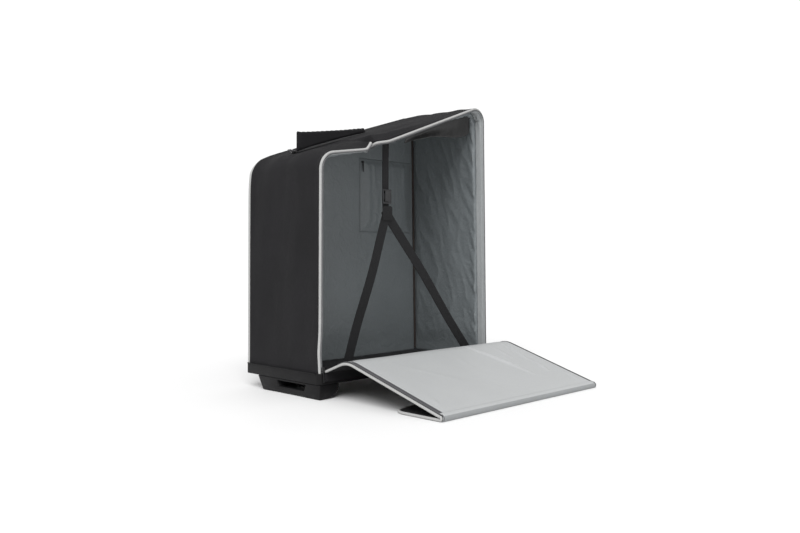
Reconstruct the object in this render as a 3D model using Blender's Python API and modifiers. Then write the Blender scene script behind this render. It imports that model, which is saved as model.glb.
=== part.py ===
# Soft travel bag that stands upright on a hard tray, with its front lid lying open.
# Metres. The bag is drawn from the tray's front left corner: X to the right along the
# width, Y into the depth, Z up from the floor. One empty then centres it on the origin.

import math

import bmesh
import bpy
from mathutils import Vector

# Bag
WIDTH = 0.612
DEPTH = 0.280
LEFT_CORNER_HEIGHT = 0.567
RIGHT_CORNER_HEIGHT = 0.750
LEFT_LEAN = 0.004
RIGHT_LEAN = 0.014
LEFT_RADIUS = 0.046
RIGHT_RADIUS = 0.036
KINK_SHARE = 0.258
KINK_ROUND = 0.014
FRONT_SAG = 0.025
SAG_DEPTH = 0.120

# Layers of the padded walls
OUTER_THICKNESS = 0.0015
FOAM_THICKNESS = 0.005
LINING_THICKNESS = 0.0012
PIPING_DIAMETER = 0.007
ZIP_TAPE_WIDTH = 0.018
GAP = 0.0003

# Tray
TRAY_BOTTOM = 0.034
TRAY_TOP = 0.060
TRAY_WALL = 0.003
TRAY_FLOOR = 0.004
TRAY_CLEARANCE = 0.0018
TRAY_CORNER_RADIUS = 0.012

# Lid: a strip at the hinge, a lower panel and an upper panel
LID_INSET = 0.0095
LID_CLEARANCE = 0.001
LID_BOARD_THICKNESS = 0.003
LID_PIPING_DIAMETER = 0.006
STRIP_LENGTH = 0.075
FOLD_SHARE = 0.471
HINGE_HEIGHT = 0.0615
STRIP_RISE = math.radians(21.7)
ROOT_GAP = 0.0004
LID_FLOOR_GAP = 0.0003

# Sizes that follow from those above
WALL = OUTER_THICKNESS + FOAM_THICKNESS + LINING_THICKNESS + 2 * GAP
PIPING_RADIUS = PIPING_DIAMETER / 2
LAYERS_FRONT = PIPING_DIAMETER + GAP
LAYERS_REAR = DEPTH - PIPING_DIAMETER - GAP
LINING_FRONT = LAYERS_FRONT + ZIP_TAPE_WIDTH + GAP
TRAY_PROUD = TRAY_WALL + TRAY_CLEARANCE
WALL_FOOT = TRAY_BOTTOM + TRAY_FLOOR + GAP
LID_THICKNESS = OUTER_THICKNESS + LID_BOARD_THICKNESS + LINING_THICKNESS + 2 * GAP
LID_FACE = -(LID_CLEARANCE + LID_THICKNESS)
BEND_HEIGHT = HINGE_HEIGHT + STRIP_LENGTH
LOWER_LENGTH = FOLD_SHARE * (RIGHT_CORNER_HEIGHT - BEND_HEIGHT)
FOLD_HEIGHT = BEND_HEIGHT + LOWER_LENGTH
KINK_X = LEFT_LEAN + KINK_SHARE * (WIDTH - RIGHT_LEAN - LEFT_LEAN)
TOP_SLOPE = (RIGHT_CORNER_HEIGHT - LEFT_CORNER_HEIGHT) / (WIDTH - RIGHT_LEAN - LEFT_LEAN)
LOWER_SLOPE = math.asin(
    (HINGE_HEIGHT + STRIP_LENGTH * math.sin(STRIP_RISE) - LID_THICKNESS - LID_FLOOR_GAP)
    / LOWER_LENGTH
)
HINGE_ANGLE = math.pi / 2 - STRIP_RISE
BEND_ANGLE = STRIP_RISE + LOWER_SLOPE
FOLD_ANGLE = math.pi - LOWER_SLOPE
FRONT_REACH = (
    LID_FACE
    - STRIP_LENGTH * math.cos(STRIP_RISE)
    - (LOWER_LENGTH - ROOT_GAP) * math.cos(LOWER_SLOPE)
    - LID_THICKNESS * math.sin(LOWER_SLOPE)
)
CENTRE_X = WIDTH / 2
CENTRE_Y = (FRONT_REACH + DEPTH + TRAY_PROUD) / 2

# Steps of the curves, the angles that edges are rounded or shaded from, and the cuts' overrun
CORNER_STEPS = 6
ROUND_STEPS = 24
TUBE_STEPS = 2
BEVEL_STEPS = 2
BEVEL_FROM = math.radians(40)
SMOOTH_BELOW = math.radians(35)
OVERRUN = 0.005
WELD = 1e-5

for old in list(bpy.data.objects):
    bpy.data.objects.remove(old, do_unlink=True)

bag = bpy.data.collections.new("travel_bag")
helpers = bpy.data.collections.new("travel_bag_cutters")
bpy.context.scene.collection.children.link(bag)
bpy.context.scene.collection.children.link(helpers)


# Materials


def finish(name, colour, roughness, metallic=0.0):
    made = bpy.data.materials.new(name)
    made.use_nodes = True
    shader = made.node_tree.nodes["Principled BSDF"]
    shader.inputs["Base Color"].default_value = (*colour, 1)
    shader.inputs["Roughness"].default_value = roughness
    shader.inputs["Metallic"].default_value = metallic
    return made


BLACK_CANVAS = finish("black_canvas", (0.022, 0.022, 0.024), 0.85)
GREY_LINING = finish("grey_lining", (0.36, 0.37, 0.38), 0.45)
LIGHT_PIPING = finish("light_piping", (0.62, 0.62, 0.61), 0.55)
GREY_FOAM = finish("grey_foam", (0.12, 0.12, 0.13), 0.95)
GREY_BOARD = finish("grey_board", (0.18, 0.18, 0.19), 0.7)
DARK_TAPE = finish("dark_tape", (0.10, 0.10, 0.11), 0.7)
BLACK_PLASTIC = finish("black_plastic", (0.03, 0.03, 0.032), 0.45)
BLACK_WEBBING = finish("black_webbing", (0.018, 0.018, 0.02), 0.8)
BLACK_RUBBER = finish("black_rubber", (0.025, 0.025, 0.025), 0.9)
DARK_METAL = finish("dark_metal", (0.25, 0.25, 0.26), 0.35, 1.0)
BRIGHT_METAL = finish("bright_metal", (0.6, 0.6, 0.6), 0.3, 1.0)
BROWN_BINDING = finish("brown_binding", (0.13, 0.115, 0.105), 0.8)


# Makers


def pivot(name, place, parent=None, turn=(0, 0, 0)):
    """An empty on a joint's axis, or at the centre of the whole bag."""
    made = bpy.data.objects.new(name, None)
    bag.objects.link(made)
    made.location = place
    made.rotation_euler = turn
    made.parent = parent
    return made


def part(name, data, material, parent, place=(0, 0, 0), turn=(0, 0, 0)):
    """A named piece with its own material, set on the empty that carries it."""
    made = bpy.data.objects.new(name, data)
    bag.objects.link(made)
    made.data.materials.append(material)
    made.location = place
    made.rotation_euler = turn
    made.parent = parent
    return made


def cutter(made):
    """Moves an object to the cutters and keeps it out of the model."""
    bag.objects.unlink(made)
    helpers.objects.link(made)
    made.hide_render = True
    made.display_type = "WIRE"
    return made


def cut(body, *tools):
    for tool in tools:
        made = body.modifiers.new(tool.name, "BOOLEAN")
        made.object = cutter(tool)
        made.operation = "DIFFERENCE"
        made.solver = "EXACT"


def rounded(body, width):
    made = body.modifiers.new("edges", "BEVEL")
    made.width = width
    made.segments = BEVEL_STEPS
    made.limit_method = "ANGLE"
    made.angle_limit = BEVEL_FROM
    return body


def mesh_of(name, shape):
    bmesh.ops.recalc_face_normals(shape, faces=shape.faces)
    made = bpy.data.meshes.new(name)
    shape.to_mesh(made)
    shape.free()
    return made


def box(name, low, high, material, parent, edge=0.0):
    """A block from its low corner to its high corner, with rounded edges."""
    low, high = Vector(low), Vector(high)
    shape = bmesh.new()
    bmesh.ops.create_cube(shape, size=1)
    bmesh.ops.scale(shape, vec=high - low, verts=shape.verts)
    made = part(name, mesh_of(name, shape), material, parent, (low + high) / 2)
    return rounded(made, edge) if edge else made


PLANES = {
    "x": (math.pi / 2, 0, math.pi / 2),
    "y": (math.pi / 2, 0, 0),
    "z": (0, 0, 0),
}


def plate(name, loop, low, high, material, parent, along="y"):
    """A flat piece: its loop lies across one axis and runs along it from low to high."""
    flat = bpy.data.curves.new(name, "CURVE")
    flat.dimensions = "2D"
    flat.fill_mode = "BOTH"
    flat.extrude = (high - low) / 2
    spline = flat.splines.new("POLY")
    spline.points.add(len(loop) - 1)
    for point, (u, v) in zip(spline.points, loop):
        point.co = (u, v, 0, 1)
    spline.use_cyclic_u = True
    centre = [(low + high) / 2 if axis == along else 0 for axis in PLANES]
    return part(name, flat, material, parent, centre, PLANES[along])


def tube(name, points, radius, material, parent, closed=False):
    """A round tube along the points."""
    line = bpy.data.curves.new(name, "CURVE")
    line.dimensions = "3D"
    line.bevel_depth = radius
    line.bevel_resolution = TUBE_STEPS
    line.use_fill_caps = not closed
    spline = line.splines.new("POLY")
    spline.points.add(len(points) - 1)
    for point, place in zip(spline.points, points):
        point.co = (*place, 1)
    spline.use_cyclic_u = closed
    return part(name, line, material, parent)


def turned(name, profile, material, parent, place):
    """A ring or a pin: (radius, y) points from far to near, spun about Y through place."""
    shape = bmesh.new()
    corners = [shape.verts.new((radius, y, 0)) for radius, y in profile]
    pairs = list(zip(corners, corners[1:]))
    if profile[0][0] > 0:
        pairs.append((corners[-1], corners[0]))
    for pair in pairs:
        shape.edges.new(pair)
    data = bpy.data.meshes.new(name)
    shape.to_mesh(data)
    shape.free()
    made = part(name, data, material, parent, place)
    spin = made.modifiers.new("turn", "SCREW")
    spin.axis = "Y"
    spin.steps = ROUND_STEPS
    spin.render_steps = ROUND_STEPS
    spin.use_merge_vertices = True
    spin.merge_threshold = WELD
    return made


def as_mesh(made):
    """Turns a curve object into a welded mesh object, so that it can be cut."""
    bpy.context.view_layer.update()
    graph = bpy.context.evaluated_depsgraph_get()
    data = bpy.data.meshes.new_from_object(made.evaluated_get(graph))
    shape = bmesh.new()
    shape.from_mesh(data)
    bmesh.ops.remove_doubles(shape, verts=shape.verts, dist=WELD)
    shape.to_mesh(data)
    shape.free()
    name, parent, place = made.name, made.parent, made.matrix_local.copy()
    bpy.data.objects.remove(made, do_unlink=True)
    solid = bpy.data.objects.new(name, data)
    bag.objects.link(solid)
    solid.parent = parent
    solid.matrix_local = place
    return solid


def round_rectangle(low, high, radius):
    """Points round a rectangle with round corners, in its own plane."""
    points = []
    for corner in range(4):
        centre_u = high[0] - radius if corner in (0, 3) else low[0] + radius
        centre_v = high[1] - radius if corner in (0, 1) else low[1] + radius
        for step in range(CORNER_STEPS + 1):
            angle = (corner + step / CORNER_STEPS) * math.pi / 2
            points.append((centre_u + radius * math.cos(angle), centre_v + radius * math.sin(angle)))
    return points


# Outline of the bag


def arc(corner, before, after, radius):
    """Points of a round corner between two unit directions that turn clockwise."""
    turn = math.acos(before.dot(after))
    start = corner - radius * math.tan(turn / 2) * before
    centre = start + radius * inward(before)
    spoke = start - centre
    points = []
    for step in range(CORNER_STEPS + 1):
        angle = -turn * step / CORNER_STEPS
        c, s = math.cos(angle), math.sin(angle)
        points.append(centre + Vector((c * spoke.x - s * spoke.y, s * spoke.x + c * spoke.y)))
    return points


def inward(way):
    """The side of a wall's direction that faces the inside of the bag."""
    return Vector((way.y, -way.x))


def sag_at(y):
    """How much of the front edge's sag is left at a depth."""
    return max(0.0, 1 - max(0.0, y - LAYERS_FRONT) / SAG_DEPTH) ** 2


def wall_at(start, way, height):
    """The point of a side wall's line at a height."""
    return start + way * (height - start.y) / way.y


def outline(inset, y, foot=WALL_FOOT):
    """Left wall, top and right wall as (x, z) points, moved inwards by inset."""
    kink_z = LEFT_CORNER_HEIGHT + (KINK_X - LEFT_LEAN) * TOP_SLOPE - FRONT_SAG * sag_at(y)
    corners = [
        Vector((0, TRAY_BOTTOM)),
        Vector((LEFT_LEAN, LEFT_CORNER_HEIGHT)),
        Vector((KINK_X, kink_z)),
        Vector((WIDTH - RIGHT_LEAN, RIGHT_CORNER_HEIGHT)),
        Vector((WIDTH, TRAY_BOTTOM)),
    ]
    left, top, rise, right = [(b - a).normalized() for a, b in zip(corners, corners[1:])]
    shoulder, kink, peak = (
        corner + inset * (inward(a) + inward(b)) / (1 + a.dot(b))
        for corner, a, b in zip(corners[1:], (left, top, rise), (top, rise, right))
    )
    return [
        wall_at(shoulder, left, foot),
        *arc(shoulder, left, top, LEFT_RADIUS - inset),
        kink - KINK_ROUND * top,
        kink + KINK_ROUND * (rise - top) / 4,
        kink + KINK_ROUND * rise,
        *arc(peak, rise, right, RIGHT_RADIUS - inset),
        wall_at(peak, right, foot),
    ]


def side_x(inset, height, side):
    """Where the left or the right wall stands at a height, moved inwards by inset."""
    return outline(inset, 0, height)[0 if side == "left" else -1].x


def roof_at(x, y, inset=0.0):
    """Height of the top of the bag over a point of its plan."""
    line = outline(inset, y)
    for a, b in zip(line, line[1:]):
        if a.x <= x <= b.x and b.x > a.x:
            return a.y + (b.y - a.y) * (x - a.x) / (b.x - a.x)
    return max(p.y for p in line)


def wrap(name, inset, low, high, thickness, material):
    """One layer of the strip round left, top and right, lofted from front to back."""
    shape = bmesh.new()
    rings = []
    for y in (low, *[y for y in SAG_STATIONS if low < y < high], high):
        edge = outline(inset, y) + outline(inset + thickness, y)[::-1]
        rings.append([shape.verts.new((p.x, y, p.y)) for p in edge])
    for near, far in zip(rings, rings[1:]):
        for i in range(len(near)):
            j = (i + 1) % len(near)
            a, b, c, d = (near[i], near[j], far[j], far[i])
            if i >= len(near) // 2:
                a, b, c, d = b, a, d, c
            shape.faces.new((a, b, c))
            shape.faces.new((a, c, d))
    for ring in (rings[0], rings[-1]):
        for i in range(len(ring) // 2 - 1):
            shape.faces.new((ring[i], ring[i + 1], ring[-2 - i], ring[-1 - i]))
    return part(name, mesh_of(name, shape), material, CENTRE)


def flat_outline(inset, y):
    return [(p.x, p.y) for p in outline(inset, y)]


def upright(inset, y, foot=WALL_FOOT):
    return [(p.x, y, p.y) for p in outline(inset, y, foot)]


SAG_STATION_SHARES = (0.3, 0.5, 0.75, 1.0)
SAG_STATIONS = [LAYERS_FRONT + ZIP_TAPE_WIDTH]
SAG_STATIONS += [LAYERS_FRONT + share * SAG_DEPTH for share in SAG_STATION_SHARES]
CENTRE = pivot("bag_centre", (-CENTRE_X, -CENTRE_Y, 0))


# Tray: a shallow black moulding with round corners, its floor below the walls' feet

tray_low = (-TRAY_PROUD, -TRAY_PROUD)
tray_high = (WIDTH + TRAY_PROUD, DEPTH + TRAY_PROUD)
tray_inner_low = (-TRAY_CLEARANCE, -TRAY_CLEARANCE)
tray_inner_high = (WIDTH + TRAY_CLEARANCE, DEPTH + TRAY_CLEARANCE)
tray = as_mesh(plate(
    "base_tray", round_rectangle(tray_low, tray_high, TRAY_CORNER_RADIUS),
    TRAY_BOTTOM, TRAY_TOP, BLACK_PLASTIC, CENTRE, "z",
))
cut(tray, as_mesh(plate(
    "tray_well", round_rectangle(tray_inner_low, tray_inner_high, TRAY_CORNER_RADIUS - TRAY_WALL),
    TRAY_BOTTOM + TRAY_FLOOR, TRAY_TOP + OVERRUN, BLACK_PLASTIC, CENTRE, "z",
)))


# Grip end: the moulding under the left end, two feet with a grip bar and a hand slot between

GRIP_REACH = 0.055
GRIP_REAR = 0.233
SOLE_REACH = 0.010
SKID_TOP = 0.031
SKID_STEPS = 8
FRONT_SOLE_END = 0.045
REAR_SOLE_START = 0.172
REAR_SOLE_END = 0.212
BAR_LIFT = 0.002
BAR_EASE = 0.006
BAR_THICKNESS = 0.013
SLOT_FRONT = 0.052
SLOT_REAR = 0.150
SLOT_HEIGHT = 0.014
SLOT_SPLAY = 0.005

grip_top = TRAY_BOTTOM - GAP
bar_top = BAR_LIFT + BAR_THICKNESS
slot_top = bar_top + SLOT_HEIGHT
grip = as_mesh(plate(
    "grip_end",
    (
        (-TRAY_PROUD, 0), (FRONT_SOLE_END, 0), (FRONT_SOLE_END + BAR_EASE, BAR_LIFT),
        (REAR_SOLE_START - BAR_EASE, BAR_LIFT), (REAR_SOLE_START, 0), (REAR_SOLE_END, 0),
        (GRIP_REAR, grip_top), (-TRAY_PROUD, grip_top),
    ),
    -TRAY_PROUD, GRIP_REACH, BLACK_PLASTIC, CENTRE, "x",
))
skid_arc = [
    (
        SOLE_REACH + (GRIP_REACH - SOLE_REACH) * math.sin(step / SKID_STEPS * math.pi / 2),
        SKID_TOP * (1 - math.cos(step / SKID_STEPS * math.pi / 2)),
    )
    for step in range(SKID_STEPS + 1)
]
skid = as_mesh(plate(
    "skid_cutter",
    [
        (SOLE_REACH, -OVERRUN), *skid_arc,
        (GRIP_REACH + OVERRUN, SKID_TOP), (GRIP_REACH + OVERRUN, -OVERRUN),
    ],
    -TRAY_PROUD - OVERRUN, GRIP_REAR + OVERRUN, BLACK_PLASTIC, CENTRE,
))
slot = as_mesh(plate(
    "slot_cutter",
    (
        (SLOT_FRONT, bar_top), (SLOT_REAR, bar_top), (SLOT_REAR + SLOT_SPLAY, slot_top),
        (SLOT_FRONT - SLOT_SPLAY, slot_top),
    ),
    -TRAY_PROUD - OVERRUN, GRIP_REACH + OVERRUN, BLACK_PLASTIC, CENTRE, "x",
))
cut(grip, skid, slot)


# Wheels: two small wheels under the right end, each on its pin in a bracket

WHEEL_DIAMETER = 0.029
WHEEL_WIDTH = 0.018
WHEEL_INSET = 0.030
WHEEL_CORNER = 0.036
HUB_RADIUS = 0.0105
TYRE_EDGE = 0.002
AXLE_RADIUS = 0.002
AXLE_CLEARANCE = 0.00005
BRACKET_THICKNESS = 0.0025
BRACKET_CLEARANCE = 0.0006
BRACKET_HALF_LENGTH = 0.016
CHEEK_EYE = 0.006
AXLE_HEAD = 0.0035
AXLE_HEAD_THICKNESS = 0.001


def wheel(name, y):
    """One wheel with its bracket, pin, hub and tyre, at a depth y."""
    x, axle_z = WIDTH - WHEEL_INSET, WHEEL_DIAMETER / 2
    cheek = WHEEL_WIDTH / 2 + BRACKET_CLEARANCE
    outside = cheek + BRACKET_THICKNESS
    top = TRAY_BOTTOM - GAP
    bracket = as_mesh(plate(
        "bracket_" + name,
        (
            (x - BRACKET_HALF_LENGTH, top), (x - BRACKET_HALF_LENGTH, top - BRACKET_THICKNESS),
            (x - CHEEK_EYE, axle_z - CHEEK_EYE / 2), (x - CHEEK_EYE / 2, axle_z - CHEEK_EYE),
            (x + CHEEK_EYE / 2, axle_z - CHEEK_EYE), (x + CHEEK_EYE, axle_z - CHEEK_EYE / 2),
            (x + BRACKET_HALF_LENGTH, top - BRACKET_THICKNESS), (x + BRACKET_HALF_LENGTH, top),
        ),
        y - outside, y + outside, BLACK_PLASTIC, CENTRE,
    ))
    gap = box(
        "bracket_gap_" + name, (x - BRACKET_HALF_LENGTH - OVERRUN, y - cheek, -OVERRUN),
        (x + BRACKET_HALF_LENGTH + OVERRUN, y + cheek, top - BRACKET_THICKNESS),
        BLACK_PLASTIC, CENTRE,
    )
    bore = turned(
        "bracket_bore_" + name,
        [(0, outside + OVERRUN), (AXLE_RADIUS + AXLE_CLEARANCE, outside + OVERRUN),
         (AXLE_RADIUS + AXLE_CLEARANCE, -outside - OVERRUN), (0, -outside - OVERRUN)],
        BLACK_PLASTIC, CENTRE, (x, y, axle_z),
    )
    cut(bracket, gap, bore)
    end = outside + GAP
    turned(
        "axle_" + name,
        [(0, end + AXLE_HEAD_THICKNESS), (AXLE_HEAD, end + AXLE_HEAD_THICKNESS), (AXLE_HEAD, end),
         (AXLE_RADIUS, end), (AXLE_RADIUS, -end), (AXLE_HEAD, -end),
         (AXLE_HEAD, -end - AXLE_HEAD_THICKNESS), (0, -end - AXLE_HEAD_THICKNESS)],
        DARK_METAL, CENTRE, (x, y, axle_z),
    )
    spin = pivot("wheel_" + name + "_pivot", (x, y, axle_z), CENTRE)
    half = WHEEL_WIDTH / 2
    turned(
        "hub_" + name,
        [(HUB_RADIUS, half), (HUB_RADIUS, -half), (AXLE_RADIUS + 2 * AXLE_CLEARANCE, -half),
         (AXLE_RADIUS + 2 * AXLE_CLEARANCE, half)],
        BLACK_PLASTIC, spin, (0, 0, 0),
    )
    rim = HUB_RADIUS + GAP
    tread = WHEEL_DIAMETER / 2
    turned(
        "tyre_" + name,
        [(rim, half), (tread - TYRE_EDGE, half), (tread, half - TYRE_EDGE),
         (tread, TYRE_EDGE - half), (tread - TYRE_EDGE, -half), (rim, -half)],
        BLACK_RUBBER, spin, (0, 0, 0),
    )


wheel("front", WHEEL_CORNER)
wheel("rear", DEPTH - WHEEL_CORNER)


# Walls: black outer skin, foam and grey lining in one strip round left, top and right

wrap("gusset_outer", 0, LAYERS_FRONT, LAYERS_REAR, OUTER_THICKNESS, BLACK_CANVAS)
wrap("gusset_foam", OUTER_THICKNESS + GAP, LAYERS_FRONT, LAYERS_REAR, FOAM_THICKNESS, GREY_FOAM)
lining_inset = WALL - LINING_THICKNESS
wrap("gusset_lining", lining_inset, LINING_FRONT, LAYERS_REAR, LINING_THICKNESS, GREY_LINING)
wrap(
    "body_zip_tape", lining_inset, LAYERS_FRONT, LAYERS_FRONT + ZIP_TAPE_WIDTH,
    LINING_THICKNESS, DARK_TAPE,
)


# Back panel: outer skin, board and lining, inside the rear piping

BACK_RECESS = 0.0008

back_inset = PIPING_DIAMETER + GAP
back_outer_low = DEPTH - BACK_RECESS - OUTER_THICKNESS
back_outline = flat_outline(back_inset, DEPTH)
plate("back_outer", back_outline, back_outer_low, DEPTH - BACK_RECESS, BLACK_CANVAS, CENTRE)
plate("back_board", back_outline, LAYERS_REAR + GAP, back_outer_low - GAP, GREY_BOARD, CENTRE)
back_face = LAYERS_REAR - LINING_THICKNESS
plate(
    "back_lining", flat_outline(WALL + GAP, DEPTH), back_face, LAYERS_REAR,
    GREY_LINING, CENTRE,
)


# Piping: light grey cord along the front and the rear edge of the strip

tube("piping_front", upright(PIPING_RADIUS, PIPING_RADIUS), PIPING_RADIUS, LIGHT_PIPING, CENTRE)
tube(
    "piping_rear", upright(PIPING_RADIUS, DEPTH - PIPING_RADIUS), PIPING_RADIUS,
    LIGHT_PIPING, CENTRE,
)


# Floor pad and the binding over the inside back seam

PAD_THICKNESS = 0.008
BINDING_RADIUS = 0.003

pad_bottom = WALL_FOOT
pad_top = pad_bottom + PAD_THICKNESS
box(
    "floor_pad",
    (side_x(WALL + GAP, pad_top, "left"), GAP, pad_bottom),
    (side_x(WALL + GAP, pad_top, "right"), back_face - GAP, pad_top),
    GREY_FOAM, CENTRE,
)
tube(
    "seam_binding",
    upright(WALL + GAP + BINDING_RADIUS, back_face - GAP - BINDING_RADIUS, pad_top + GAP),
    BINDING_RADIUS, BROWN_BINDING, CENTRE,
)


# Zip: the coil in front of the piping, with a slider and a puller at each end

COIL_INSET = 0.0062
COIL_RADIUS = 0.0012
COIL_CLEARANCE = 0.00025
SLIDER_HEIGHT = 0.070
SLIDER_LENGTH = 0.010
SLIDER_WIDTH = 0.0056
SLIDER_THICKNESS = 0.0062
PULLER_WIDTH = 0.004
PULLER_THICKNESS = 0.0014
PULLER_LENGTH = 0.028
PULLER_DROP = 0.0025

coil_y = -GAP - COIL_RADIUS
tube("zip_coil", upright(COIL_INSET, coil_y, HINGE_HEIGHT), COIL_RADIUS, DARK_TAPE, CENTRE)


def puller(name, place, parent):
    """A flat tag that hangs in front of its slider, turning about its top edge."""
    hinge = pivot(name + "_pivot", place, parent)
    box(
        name, (-PULLER_WIDTH / 2, -PULLER_THICKNESS / 2, -PULLER_LENGTH),
        (PULLER_WIDTH / 2, PULLER_THICKNESS / 2, 0), DARK_METAL, hinge,
    )


def slider(side):
    """One zip slider: a block with a channel that is open to the coil."""
    x = side_x(COIL_INSET, SLIDER_HEIGHT, side)
    name = "zip_slider_" + side
    run = pivot(name + "_pivot", (x, 0, SLIDER_HEIGHT), CENTRE)
    body = box(
        name, (-SLIDER_WIDTH / 2, -SLIDER_THICKNESS - GAP, -SLIDER_LENGTH / 2),
        (SLIDER_WIDTH / 2, -GAP, SLIDER_LENGTH / 2), DARK_METAL, run,
    )
    channel = COIL_RADIUS + COIL_CLEARANCE
    cut(body, box(
        name + "_channel", (-channel, coil_y - channel, -SLIDER_LENGTH / 2 - OVERRUN),
        (channel, OVERRUN, SLIDER_LENGTH / 2 + OVERRUN), DARK_METAL, run,
    ))
    face = -SLIDER_THICKNESS - 2 * GAP - PULLER_THICKNESS / 2
    puller("zip_puller_" + side, (0, face, -PULLER_DROP), run)


slider("left")
slider("right")


# Back pocket: a grey panel on the back lining, its zip along the top edge

POCKET_INSET = 0.0216
POCKET_WIDTH = 0.208
POCKET_DROP = 0.0762
POCKET_HEIGHT = 0.210
POCKET_ZIP_HEIGHT = 0.010
POCKET_ZIP_THICKNESS = 0.0015
POCKET_ZIP_INSET = 0.006
POCKET_SLIDER_LENGTH = 0.009
POCKET_SLIDER_THICKNESS = 0.003

pocket_right = side_x(POCKET_INSET, LEFT_CORNER_HEIGHT, "right")
pocket_left = pocket_right - POCKET_WIDTH
pocket_top = roof_at(pocket_left, DEPTH) - POCKET_DROP
pocket_face = back_face - GAP - LINING_THICKNESS
box(
    "back_pocket", (pocket_left, pocket_face, pocket_top - POCKET_HEIGHT),
    (pocket_right, back_face - GAP, pocket_top), GREY_LINING, CENTRE,
)
zip_top = pocket_top - POCKET_ZIP_INSET
zip_face = pocket_face - GAP - POCKET_ZIP_THICKNESS
box(
    "pocket_zip",
    (pocket_left + POCKET_ZIP_INSET, zip_face, zip_top - POCKET_ZIP_HEIGHT),
    (pocket_right - POCKET_ZIP_INSET, pocket_face - GAP, zip_top), DARK_TAPE, CENTRE,
)
pocket_x = pocket_left + POCKET_ZIP_INSET + POCKET_SLIDER_LENGTH / 2
pocket_z = zip_top - POCKET_ZIP_HEIGHT / 2
pocket_run = pivot("pocket_slider_pivot", (pocket_x, zip_face - GAP, pocket_z), CENTRE)
box(
    "pocket_slider", (-POCKET_SLIDER_LENGTH / 2, -POCKET_SLIDER_THICKNESS, -SLIDER_WIDTH / 2),
    (POCKET_SLIDER_LENGTH / 2, 0, SLIDER_WIDTH / 2), DARK_METAL, pocket_run,
)
puller(
    "pocket_puller", (0, -POCKET_SLIDER_THICKNESS - GAP - PULLER_THICKNESS / 2, 0), pocket_run
)


# Handle: a flat padded grip that stands on a band along the roof

HANDLE_LEFT = 0.046
HANDLE_RIGHT = 0.282
HANDLE_DEPTH = 0.145
HANDLE_LEFT_RISE = 0.046
HANDLE_RIGHT_RISE = 0.010
HANDLE_THICKNESS = 0.007
HANDLE_EDGE = 0.0033
HANDLE_LEAN = 0.003
SEAT_THICKNESS = 0.0012
SEAT_WIDTH = 0.022

roof_tilt = math.atan(TOP_SLOPE)
seat_place = Vector((HANDLE_LEFT, HANDLE_DEPTH, roof_at(HANDLE_LEFT, HANDLE_DEPTH)))
seat_place += GAP * Vector((-math.sin(roof_tilt), 0, math.cos(roof_tilt)))
roof_frame = pivot("roof_frame", seat_place, CENTRE, (0, -roof_tilt, 0))
handle_length = (HANDLE_RIGHT - HANDLE_LEFT) / math.cos(roof_tilt)
box(
    "handle_seat", (0, -SEAT_WIDTH / 2, 0), (handle_length, SEAT_WIDTH / 2, SEAT_THICKNESS),
    BLACK_WEBBING, roof_frame,
)
handle_base = HANDLE_THICKNESS / 2
handle_hinge = pivot(
    "handle_pivot", (0, 0, SEAT_THICKNESS + GAP + handle_base), roof_frame
)
rounded(as_mesh(plate(
    "carry_handle",
    (
        (0, -handle_base), (handle_length, -handle_base),
        (handle_length - HANDLE_LEAN, HANDLE_RIGHT_RISE),
        (HANDLE_LEAN + HANDLE_LEFT_RISE * math.sin(roof_tilt), HANDLE_LEFT_RISE),
    ),
    -HANDLE_THICKNESS / 2, HANDLE_THICKNESS / 2, BLACK_CANVAS, handle_hinge,
)), HANDLE_EDGE)


# Ring at the handle's left end, held by a webbing tab on the roof

RING_WIRE = 0.00125
RING_WIDTH = 0.018
RING_HEIGHT = 0.014
RING_CORNER = 0.005
RING_REST = math.radians(40)
TAB_LENGTH = 0.010
TAB_WIDTH = 0.011
TAB_THICKNESS = 0.005
TAB_BORE = 0.0015

tab = box(
    "ring_tab", (-TAB_LENGTH - GAP, -TAB_WIDTH / 2, 0), (-GAP, TAB_WIDTH / 2, TAB_THICKNESS),
    BLACK_WEBBING, roof_frame,
)
ring_x, ring_z = -GAP - TAB_LENGTH / 2, TAB_THICKNESS / 2
cut(tab, turned(
    "ring_bore",
    [(0, TAB_WIDTH / 2 + OVERRUN), (TAB_BORE, TAB_WIDTH / 2 + OVERRUN),
     (TAB_BORE, -TAB_WIDTH / 2 - OVERRUN), (0, -TAB_WIDTH / 2 - OVERRUN)],
    BLACK_WEBBING, roof_frame, (ring_x, 0, ring_z),
))
ring_hinge = pivot("ring_pivot", (ring_x, 0, ring_z), roof_frame, (0, RING_REST, 0))
ring_half = RING_WIDTH / 2
ring_loop = round_rectangle((-RING_HEIGHT, -ring_half), (0, ring_half), RING_CORNER)
tube(
    "d_ring", [(u, v, 0) for u, v in ring_loop], RING_WIRE, BRIGHT_METAL, ring_hinge, closed=True
)


# Harness: two straps from the floor that meet at a stitched yoke, and one to the roof.
# Each foot is sewn into a tab; the right strap arrives at a slant, so its tab sits inwards.

STRAP_DEPTH = 0.030
STRAP_THICKNESS = 0.0015
STRAP_WIDTH = 0.028
TOP_STRAP_WIDTH = 0.022
ROOF_GAP = 0.0007
YOKE_X = 0.246
YOKE_HEIGHT = 0.436
YOKE_REACH = 0.012
LEFT_STRAP_INSET = 0.105
RIGHT_STRAP_INSET = 0.034
ANCHOR_THICKNESS = 0.002
ANCHOR_LENGTH = 0.044
ANCHOR_WIDTH = 0.030
PATCH_WIDTH = 0.034
PATCH_HEIGHT = 0.036
PATCH_CORNER = 0.006

strap_foot = pad_top + 2 * GAP + ANCHOR_THICKNESS
right_foot = WIDTH - RIGHT_STRAP_INSET
layer = STRAP_THICKNESS + GAP


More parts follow.
